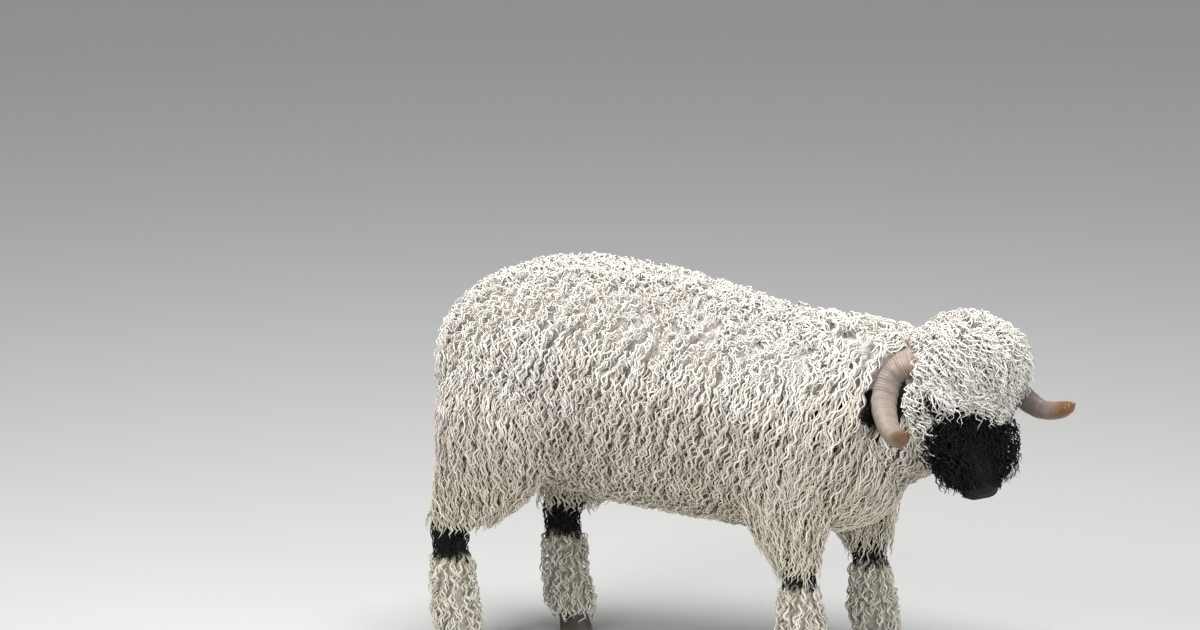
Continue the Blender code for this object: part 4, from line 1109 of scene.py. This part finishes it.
def limbWool(limb):
    low, high = limb["joint"]

    def wool(spot, normal, rng):
        z = spot.z - origin[2]
        if z < limbLock["lowest"] or low + limbLock["overJoint"] < z < high - limbLock["overJoint"]:
            return None
        sizes = sizesOf(limbLock, length=limb["lockLength"])
        if z < low + 0.01:
            clear = shankLock["clearOfFloor"]
            sizes = sizesOf(shankLock, length=min(shankLock["length"], max(z - clear, clear)))
        towards = Vector((rng.normal(-0.10, 0.12), rng.normal(0, 0.12), -1.0))
        return towards, limbLock["cling"], sizes
    return wool


def neckWool(spot, normal, rng):
    high = smooth(normal.z, 0.30, 0.85)
    across = (spot - originVector).y - neckLock["spineY"]
    onSpine = math.exp(-((across / neckLock["spineHalf"]) ** 2)) * high
    towards = Vector((-0.35, 0.45 * math.tanh(across / 0.05), -1.0 + 0.9 * onSpine))
    spin = rng.normal(0, 0.15 + 0.35 * high + 1.1 * onSpine)
    length = neckLock["length"] - neckLock["shorterOnTop"] * high
    return spun(towards, normal, spin), neckLock["cling"], sizesOf(neckLock, length=length)


def tailWool(spot, normal, rng):
    return Vector((-0.15, rng.normal(0, 0.15), -1.0)), tailLock["cling"], sizesOf(tailLock)


def splitStaples(staples, groups):  # groups gives each staple's piece number
    return [{key: value[groups == k] for key, value in staples.items()} for k in range(int(groups.max()) + 1)]


def coatOf(name, staples, shape, finish, seed):
    if len(staples["sizes"]):
        layLocks(name, staples, shape, finish, seed)


def grow(name, place, tree, lock, wool, shape, finish, seeds, restOn=None, moat=None, limit=0.007):
    roots = spreadRoots(place, tree, lock["gap"], seeds[0], limit)
    staples = staplesFrom(roots, tree if restOn is None else restOn, wool, seeds[1])
    coatOf(name, staples if moat is None else keptStaples(staples, moat), shape, finish, seeds[2])


trunkStaples = staplesFrom(spreadRoots("trunk", bodyTree, fleece["gap"], 21), bodyTree, trunkWool, 22)
start = trunkStaples["line"][:, 0] - origin
onTop = trunkStaples["out"][:, 0, 2] > 0.62
quarter = np.where(start[:, 1] < 0, 0, 2) + (start[:, 0] > 0)
groups = np.where(onTop, 4 + (start[:, 0] > 0), quarter)
trunkNames = (
    "flank_right_rear", "flank_right_front", "flank_left_rear", "flank_left_front", "back_rear", "back_front",
)
for k, part in enumerate(splitStaples(trunkStaples, groups)):
    coatOf("coat_" + trunkNames[k], part, fleeceShape, fleeceWool, 30 + k)
grow("coat_spine", "trunk", bodyTree, spineLock, spineWool, fleeceShape, fleeceWool, (60, 61, 62))
for k, (limbName, limb, side, swing) in enumerate(limbs):
    seeds = (40 + k, 44 + k, 48 + k)
    grow("coat_" + limbName, limbName, bodyTree, limbLock, limbWool(limb), fleeceShape, fleeceWool, seeds)
grow("coat_neck", "neck", bodyTree, neckLock, neckWool, fleeceShape, fleeceWool, (52, 53, 54), moat=0.006)
grow("coat_tail", "tail", bodyTree, tailLock, tailWool, fleeceShape, fleeceWool, (55, 56, 57))


# Crown and forelock: longer ringlets that fall from the poll over brow and cheeks.

crownShape = dict(
    fleeceShape, rings=14, disorder=0.8, spread=0.0075, lowest=0.45, sink=0.006, tipDip=0.3, lean=0.14
)
crownMoat = 0.006  # clear of the bare horns
ringlet = {
    "gap": 0.0093, "cling": 0.35, "lowest": -0.066, "uneven": (0.72, 1.35),
    "longerOnBrow": 0.030, "looserOnBrow": 0.13, "lowerOnPoll": 0.016,
    "length": 0.066, "width": 0.0042, "height": 0.040, "wave": 0.021, "swing": 0.0062, "coil": 1.0,
}
forelock = {
    "gap": 0.0105, "cling": 0.30, "middle": -0.026, "reach": 0.095, "top": 0.012, "bottom": -0.050,
    "uneven": (0.6, 1.15), "longerInMiddle": 0.075,
    "length": 0.040, "width": 0.0042, "height": 0.035, "wave": 0.021, "swing": 0.0066, "coil": 1.0,
}


def ringletWool(spot, normal, rng):
    local = Vector(toHead(np.array(spot)[None])[0])
    if local.z < ringlet["lowest"] or (local.x > 0.078 and local.y > -0.085 and local.z < 0.060):
        return None
    onBrow = float(smooth(local.y, 0.0, 0.05))
    fall = Vector((local.x * 5, (local.y + 0.03) * 6, -1.1))
    towards = Vector(headTurn @ np.array(fall.normalized()))
    towards.z -= 0.35
    onPoll = float(smooth(local.z, 0.05, 0.095))  # the whorl is closed by ringlets that lie every way
    spun(towards, normal, rng.normal(0, 0.30 + 1.2 * onPoll))
    length = (ringlet["length"] + ringlet["longerOnBrow"] * onBrow) * rng.uniform(*ringlet["uneven"])
    length = length * (1 - 0.42 * float(smooth(local.x, 0.0, 0.055)) * onBrow)
    height = ringlet["height"] - ringlet["lowerOnPoll"] * float(smooth(local.z, 0.02, 0.08))
    cling = ringlet["cling"] - ringlet["looserOnBrow"] * onBrow
    return towards, cling, sizesOf(ringlet, length=length, height=height)


def forelockWool(spot, normal, rng):
    local = Vector(toHead(np.array(spot)[None])[0])
    across = local.x - forelock["middle"]
    inside = forelock["bottom"] <= local.z <= forelock["top"] and local.y >= 0.0
    if not inside or abs(across) > forelock["reach"]:
        return None
    towards = Vector(headTurn @ np.array((local.x * 1.5, 0.0, -1.0)))
    spun(towards, normal, rng.normal(0, 0.32))
    inMiddle = 1 - across**2 / forelock["reach"] ** 2
    length = (forelock["length"] + forelock["longerInMiddle"] * inMiddle) * rng.uniform(*forelock["uneven"])
    return towards, forelock["cling"], sizesOf(forelock, length=length)


for k, tuftName in enumerate(crown):
    grow("coat_" + tuftName, tuftName, bodyTree, ringlet, ringletWool, crownShape, crownWool,
         (60 + k, 63 + k, 66 + k), restOn=skinTree, moat=crownMoat)
grow("coat_forelock", "mop", bodyTree, forelock, forelockWool, crownShape, crownWool,
     (38, 39, 37), restOn=skinTree, moat=crownMoat)


# Black wool: long on forehead and cheeks, short down the nose, on the ears, knees and hocks.

faceShape = {
    "strands": 3, "rings": 5, "disorder": 0.8, "lowest": 0.35, "sink": 0.002, "tipDip": 0.2,
    "lean": 0.16, "spread": 0.0036, "flat": 0.7,
}
cheekShape = dict(faceShape, rings=8, spread=0.0060, lowest=0.22, sink=0.003, tipDip=0.35, lean=0.22)
faceCoat = {  # depth of the black wool, and where it stops
    "cheekRight": 0.034, "cheekLeft": 0.056, "jaw": 0.038, "nose": 0.017, "muzzle": 0.0055,
    "top": 0.012, "bottom": -0.235, "noseBottom": -0.238,
}
cheekLock = {
    "gap": 0.0072, "cling": 0.5, "leastDepth": 0.017, "eyeGap": 0.026,
    "width": 0.0034, "wave": 0.016, "swing": 0.0034, "coil": 0.9,
}
noseLock = {"gap": 0.0052, "cling": 0.65, "mostDepth": 0.019, "eyeGap": 0.021, "wave": 0.013, "coil": 0.8}
templeLock = {
    "gap": 0.0068, "cling": 0.45, "top": 0.020, "eyeGap": 0.024,
    "length": 0.048, "width": 0.0042, "height": 0.036, "wave": 0.021, "swing": 0.0048, "coil": 0.95,
}
earLock = {
    "gap": 0.0060, "cling": 0.7,
    "length": 0.013, "width": 0.0022, "height": 0.0055, "wave": 0.010, "swing": 0.0008, "coil": 0.8,
}
jointLock = {
    "gap": 0.0085, "cling": 0.6, "past": 0.004,
    "length": 0.019, "width": 0.0026, "height": 0.008, "wave": 0.012, "swing": 0.0010, "coil": 0.8,
}
eyeCentres = [eyeAxes(side)[0] for side in (1, -1)]


def faceDepth(x, y, z):  # how thick the black wool is
    halfWidth = through(head["rows"], z)[0][2]
    beside = float(smooth(abs(x) / halfWidth, 0.45, 0.95)) * (1 - float(smooth(y, -0.008, 0.010)))
    low = float(smooth(z, -0.205, -0.130))
    cheek = faceCoat["cheekRight" if x > 0 else "cheekLeft"]
    side = faceCoat["jaw"] * float(smooth(z, -0.225, -0.175)) * (1 - low) + cheek * low
    front = faceCoat["muzzle"] + (faceCoat["nose"] - faceCoat["muzzle"]) * float(smooth(z, -0.200, -0.080))
    return front + (side - front) * beside if side > front else front


def nearEye(x, y, z, gap):
    return any(np.linalg.norm(np.array((x, y, z)) - centre) < gap for centre in eyeCentres)


def isBare(x, y, z, gap):  # no black wool: close to an eye, or where the white takes over
    return nearEye(x, y, z, gap) or atTemple(x, y, z)


def wayOnFace(x, normal, rng, spin):
    towards = Vector(headTurn @ np.array((x * 2.0, -0.25, -1.0)))
    return spun(towards, normal, rng.normal(0, spin))


def cheekWool(spot, normal, rng):
    x, y, z = toHead(np.array(spot)[None])[0]
    depth = faceDepth(x, y, z)
    outside = z < faceCoat["bottom"] or z > faceCoat["top"]
    if outside or depth < cheekLock["leastDepth"] or isBare(x, y, z, cheekLock["eyeGap"]):
        return None
    sizes = sizesOf(cheekLock, length=0.020 + 0.80 * depth, height=depth)
    return wayOnFace(x, normal, rng, 0.45), cheekLock["cling"], sizes


def noseWool(spot, normal, rng):
    x, y, z = toHead(np.array(spot)[None])[0]
    depth = faceDepth(x, y, z)
    outside = z < faceCoat["noseBottom"] or z > faceCoat["top"]
    if outside or depth >= noseLock["mostDepth"] or isBare(x, y, z, noseLock["eyeGap"]):
        return None
    length, thick = 0.006 + 1.1 * depth, 0.10 * depth
    sizes = sizesOf(noseLock, length=length, width=0.0014 + thick, height=depth, swing=0.0004 + thick)
    return wayOnFace(x, normal, rng, 0.30), noseLock["cling"], sizes


def templeWool(spot, normal, rng):
    x, y, z = toHead(np.array(spot)[None])[0]
    if z > templeLock["top"] or not atTemple(x, y, z) or nearEye(x, y, z, templeLock["eyeGap"]):
        return None
    return wayOnFace(x, normal, rng, 0.40), templeLock["cling"], sizesOf(templeLock)


def jointWool(spot, normal, rng):
    towards = Vector((rng.normal(-0.1, 0.2), rng.normal(0, 0.2), -1.0))
    return towards, jointLock["cling"], sizesOf(jointLock)


def earWool(side):
    tip = ear["tipRight"] if side > 0 else ear["tipLeft"]
    way = headTurn @ unit(mirrored(np.array(tip) - np.array(ear["root"]), side))

    def wool(spot, normal, rng):
        return spun(Vector(way), normal, rng.normal(0, 0.3)), earLock["cling"], sizesOf(earLock)
    return wool


onHead = {"place": "head", "tree": headTree, "limit": 0.012}
grow("coat_cheeks", lock=cheekLock, wool=cheekWool, shape=cheekShape, finish=blackWool,
     seeds=(70, 71, 72), moat=0.003, **onHead)
grow("coat_temples", lock=templeLock, wool=templeWool, shape=cheekShape, finish=crownWool,
     seeds=(58, 59, 68), moat=0.004, **onHead)
grow("coat_face", lock=noseLock, wool=noseWool, shape=faceShape, finish=blackWool,
     seeds=(73, 74, 69), **onHead)
for k, (earName, side) in enumerate((("earRight", 1), ("earLeft", -1))):
    grow("coat_ear_" + earName[3:].lower(), earName, headTree, earLock, earWool(side), faceShape, blackWool,
         (75 + k, 77 + k, 79 + k), limit=0.004)
for k, (limbName, limb, side, swing) in enumerate(limbs):
    low, high = limb["joint"]
    roots = spreadRoots(limbName, bodyTree, jointLock["gap"], 82 + k)
    roots = [root for root in roots if low - jointLock["past"] < root[0].z < high + jointLock["past"]]
    staples = staplesFrom(roots, bodyTree, jointWool, 86 + k)
    coatOf("coat_joint_" + limbName, staples, faceShape, blackWool, 90 + k)


# Horns


hornLook = {
    "dark": (0.15, 0.118, 0.098, 1), "light": (0.42, 0.352, 0.305, 1), "ring": (0.13, 0.095, 0.072, 1),
    "tip": (0.145, 0.070, 0.024, 1), "root": (0.40, 0.29, 0.22, 1),
}


def hornMaterial():
    made, tree, shader = newMaterial("horn")
    share = attributeOf(tree, "along")
    patches = noiseAt(tree, placeOf(tree), 45.0, 5.0)
    body = mixColour(tree, patches, hornLook["dark"], hornLook["light"])
    rings = doMath(tree, "MULTIPLY", share, 2 * math.pi * horn["wrinkles"] * horn["fineLines"])
    lines = doMath(tree, "SINE", rings)
    ringed = mixColour(tree, inRange(tree, lines, -1.0, 1.0, 0.0, 0.55), body, hornLook["ring"])
    tipped = mixColour(tree, inRange(tree, share, 0.85, 0.94), ringed, hornLook["tip"])
    rooted = mixColour(tree, inRange(tree, share, 0.34, 0.08), tipped, hornLook["root"])
    tree.links.new(rooted, shader.inputs["Base Color"])
    bumped(tree, shader, doMath(tree, "ADD", patches, lines), 0.35, 0.0008)
    tree.links.new(inRange(tree, share, 0.6, 1.0, 0.58, 0.34), shader.inputs["Roughness"])
    shader.inputs["Subsurface Weight"].default_value = 0.12
    shader.inputs["Subsurface Scale"].default_value = 0.004
    shader.inputs["Subsurface Radius"].default_value = (1.0, 0.5, 0.3)
    return made


hornFinish = hornMaterial()


def takeOver(made, *nodes):
    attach(made, "root")
    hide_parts(*nodes)
    return made


def hornPiece(node, side):
    share = np.linspace(0, 1, horn["rings"])
    x, y, z, radius = through(horn["rows"], share).T
    strength = horn["wrinkle"] * (1 - 0.75 * smooth(share, 0.35, 0.95))
    wrinkle = 1 + strength * (np.abs(np.sin(np.pi * horn["wrinkles"] * share**0.9)) - 0.6)
    fine = 1 + horn["fineDepth"] * np.sin(2 * np.pi * horn["wrinkles"] * horn["fineLines"] * share)
    path = mirrored(np.stack([x, y, z], -1), side)
    radius = radius * wrinkle * fine
    radius[-horn["tipRings"]:] *= np.sqrt(np.linspace(0.95, 0.12, horn["tipRings"]))
    keeled = lambda a: 1 + horn["keel"] * np.cos(3 * a)
    grid = tubeGrid(path, radius, horn["sides"], np.array((side, 0.15, 0)), keeled)
    points, faces = gridMesh(fromHead(grid))
    made = meshObject(node + "_spiral", points, outward(points - points.mean(0), faces))
    setValues(made.data, "along", np.append(np.repeat(share, horn["sides"]), (0.0, 1.0)))
    made.data.shade_smooth()
    made.data.materials.append(hornFinish)
    return takeOver(made, node)


hornPiece("horn_right", 1)
hornPiece("horn_left", -1)
print("horns")


# Eyes: a dark amber iris with a level, slotted pupil.


def eyeMaterial():
    made, tree, shader = newMaterial("eye")
    place = attributeOf(tree, "gaze", "Vector")
    parts = addNode(tree, "ShaderNodeSeparateXYZ", {"Vector": place})
    squeezed = {"X": doMath(tree, "MULTIPLY", parts.outputs["X"], 0.55), "Y": parts.outputs["Y"]}
    flat = addNode(tree, "ShaderNodeCombineXYZ", squeezed).outputs[0]
    slot = addNode(tree, "ShaderNodeVectorMath", {0: flat}, operation="LENGTH").outputs["Value"]
    disc = addNode(tree, "ShaderNodeVectorMath", {0: place}, operation="LENGTH").outputs["Value"]
    amber = mixColour(tree, noiseAt(tree, place, 9.0, 4.0), (0.045, 0.020, 0.008, 1), (0.16, 0.080, 0.025, 1))
    iris = mixColour(tree, inRange(tree, disc, 0.62, 0.74), amber, (0.020, 0.014, 0.012, 1))
    colour = mixColour(tree, inRange(tree, slot, 0.19, 0.15), iris, (0.002, 0.002, 0.003, 1))
    tree.links.new(colour, shader.inputs["Base Color"])
    shader.inputs["Roughness"].default_value = 0.08
    shader.inputs["Coat Weight"].default_value = 0.8
    shader.inputs["Coat Roughness"].default_value = 0.03
    return made


eyeFinish = eyeMaterial()


def eyePiece(node, side):
    centre, out, level, upright = eyeAxes(side)
    axes = np.stack([level, upright, out])
    points, faces = gridMesh(ballGrid((0, 0, 0), (1, 1, 1), 36, 48))
    bulge = 1 + 0.07 * smooth(points[:, 2], 0.75, 1.0)
    placed = fromHead(centre + (points * bulge[:, None] * eye["radius"]) @ axes)
    made = meshObject(node + "_ball", placed, outward(points, faces))
    if side < 0:
        made.data.flip_normals()
    gaze = made.data.attributes.new("gaze", "FLOAT_VECTOR", "POINT")
    gaze.data.foreach_set("vector", (points * (1, 1, 0)).astype(np.float32).ravel())
    made.data.shade_smooth()
    made.data.materials.append(eyeFinish)
    return takeOver(made, node)


eyePiece("eye_right", 1)
eyePiece("eye_left", -1)
print("eyes")


# Claws


def clawMaterial():
    made, tree, shader = newMaterial("claw")
    place = placeOf(tree)
    stretch = addNode(tree, "ShaderNodeVectorMath", {0: place, 1: (40, 40, 420)}, operation="MULTIPLY")
    growth = noiseAt(tree, stretch.outputs["Vector"], 1.0, 4.0)
    colour = mixColour(tree, growth, (0.018, 0.015, 0.013, 1), (0.085, 0.068, 0.052, 1))
    worn = inRange(tree, heightOf(tree, place), 0.012, 0.0)
    tree.links.new(mixColour(tree, worn, colour, (0.12, 0.098, 0.072, 1)), shader.inputs["Base Color"])
    bumped(tree, shader, growth, 0.5, 0.0007)
    shader.inputs["Roughness"].default_value = 0.48
    return made


clawFinish = clawMaterial()


def clawPiece(node, centre, side):
    share = np.linspace(0, 1, 22)
    z = claw["height"] * share
    scale, back = through(claw["taper"], share).T
    scale = scale * (1 - 0.05 * (1 - smooth(share, 0.0, 0.10)))
    angle = 2 * np.pi * np.arange(40) / 40
    pinch = 1 - claw["pinch"] * np.maximum(np.cos(angle), 0) ** 2
    x = np.cos(angle)[None] * claw["length"] / 2 * scale[:, None] + back[:, None]
    y = (np.sin(angle) * pinch)[None] * claw["width"] / 2 * (0.5 + 0.5 * scale)[:, None]
    y = y - side * claw["turnIn"] * np.cos(angle)[None]
    ridge = 1 + claw["ridge"] * np.sin(2 * np.pi * claw["ridges"] * share)[:, None]
    grid = np.stack([x * ridge, y * ridge, z[:, None] + 0 * x], -1) + centre
    points, faces = gridMesh(grid)
    made = meshObject(node + "_hoof", points, outward(points - points.mean(0), faces))
    made.data.shade_smooth()
    made.data.set_sharp_from_angle(angle=math.radians(50))
    made.data.materials.append(clawFinish)
    return takeOver(made, node)


for limbName, limb, side, swing in limbs:
    x, y = through(limb["rows"], claw["crownLevel"])[0][:2]
    foot = np.array((x + swing + claw["forward"], side * y, 0.0)) + origin
    for which, offset in (("outer", side), ("inner", -side)):
        end, hand = limbName.split("_")
        spot = foot + np.array((0, offset * claw["spacing"] / 2, 0))
        clawPiece(f"claw_{end}_{hand}_{which}", spot, offset)
print("claws")

fleshNodes = [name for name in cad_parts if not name.startswith(("claw", "horn", "eye"))]
takeOver(skin, *fleshNodes)


# Stage, light and camera

stage = {
    "floor": (0.50, 0.50, 0.49, 1), "floorReach": 30, "world": (0.93, 0.96, 1.0, 1), "worldStrength": 0.44,
}
lights = {  # place from the middle of the sheep, size, power, colour
    "sky": ((-0.3, -0.5, 4.2), 2.6, 255, (1.0, 0.99, 0.975)),
    "key": ((-1.8, -3.6, 3.0), 1.6, 96, (1.0, 0.985, 0.96)),
    "fill": ((3.0, -2.8, 1.1), 2.4, 76, (0.98, 0.99, 1.0)),
}


def makeStage():
    r = stage["floorReach"]
    floor = meshObject("floor", [(-r, -r, 0), (r, -r, 0), (r, r, 0), (-r, r, 0)], [(0, 1, 2, 3)])
    made, tree, shader = newMaterial("floor")
    shader.inputs["Base Color"].default_value = stage["floor"]
    shader.inputs["Roughness"].default_value = 0.9
    floor.data.materials.append(made)
    world = bpy.data.worlds.new("studio")
    world.use_nodes = True
    world.node_tree.nodes["Background"].inputs["Color"].default_value = stage["world"]
    world.node_tree.nodes["Background"].inputs["Strength"].default_value = stage["worldStrength"]
    bpy.context.scene.world = world


def addLight(name, place, aim, size, power, colour):
    light = bpy.data.lights.new(name, "AREA")
    light.size = size
    light.energy = power
    light.color = colour
    made = bpy.data.objects.new(name, light)
    made.location = place
    made.rotation_euler = (Vector(aim) - Vector(place)).to_track_quat("-Z", "Y").to_euler()
    bpy.context.scene.collection.objects.link(made)


def makeLights():
    middle = (cadLow + cadHigh) / 2
    for name, (offset, size, power, colour) in lights.items():
        addLight(name, middle + Vector(offset), middle, size, power, colour)


view = {  # the photograph's view: azimuth 16, elevation 12 degrees
    "right": (0.9613, 0.2756, 0.0), "up": (-0.0573, 0.1999, 0.9781), "back": (0.2696, -0.9403, 0.2079),
    "aimRight": -75 / 490, "aimUp": 340 / 490, "distance": 20.15, "lens": 294, "sensor": 36,
}


def makeCamera():
    right, up, back = (Vector(view[k]) for k in ("right", "up", "back"))
    data = bpy.data.cameras.new("camera")
    data.lens, data.sensor_width = view["lens"], view["sensor"]
    data.clip_start, data.clip_end = 0.5, 100
    made = bpy.data.objects.new("camera", data)
    aim = right * view["aimRight"] + up * view["aimUp"] + originVector
    facing = Matrix((right, up, back)).transposed().to_4x4()
    made.matrix_world = Matrix.Translation(aim + back * view["distance"]) @ facing
    bpy.context.scene.collection.objects.link(made)
    bpy.context.scene.camera = made


makeStage()
makeLights()
makeCamera()
bpy.context.scene.view_settings.view_transform = "Standard"
print("stage, lights and camera")
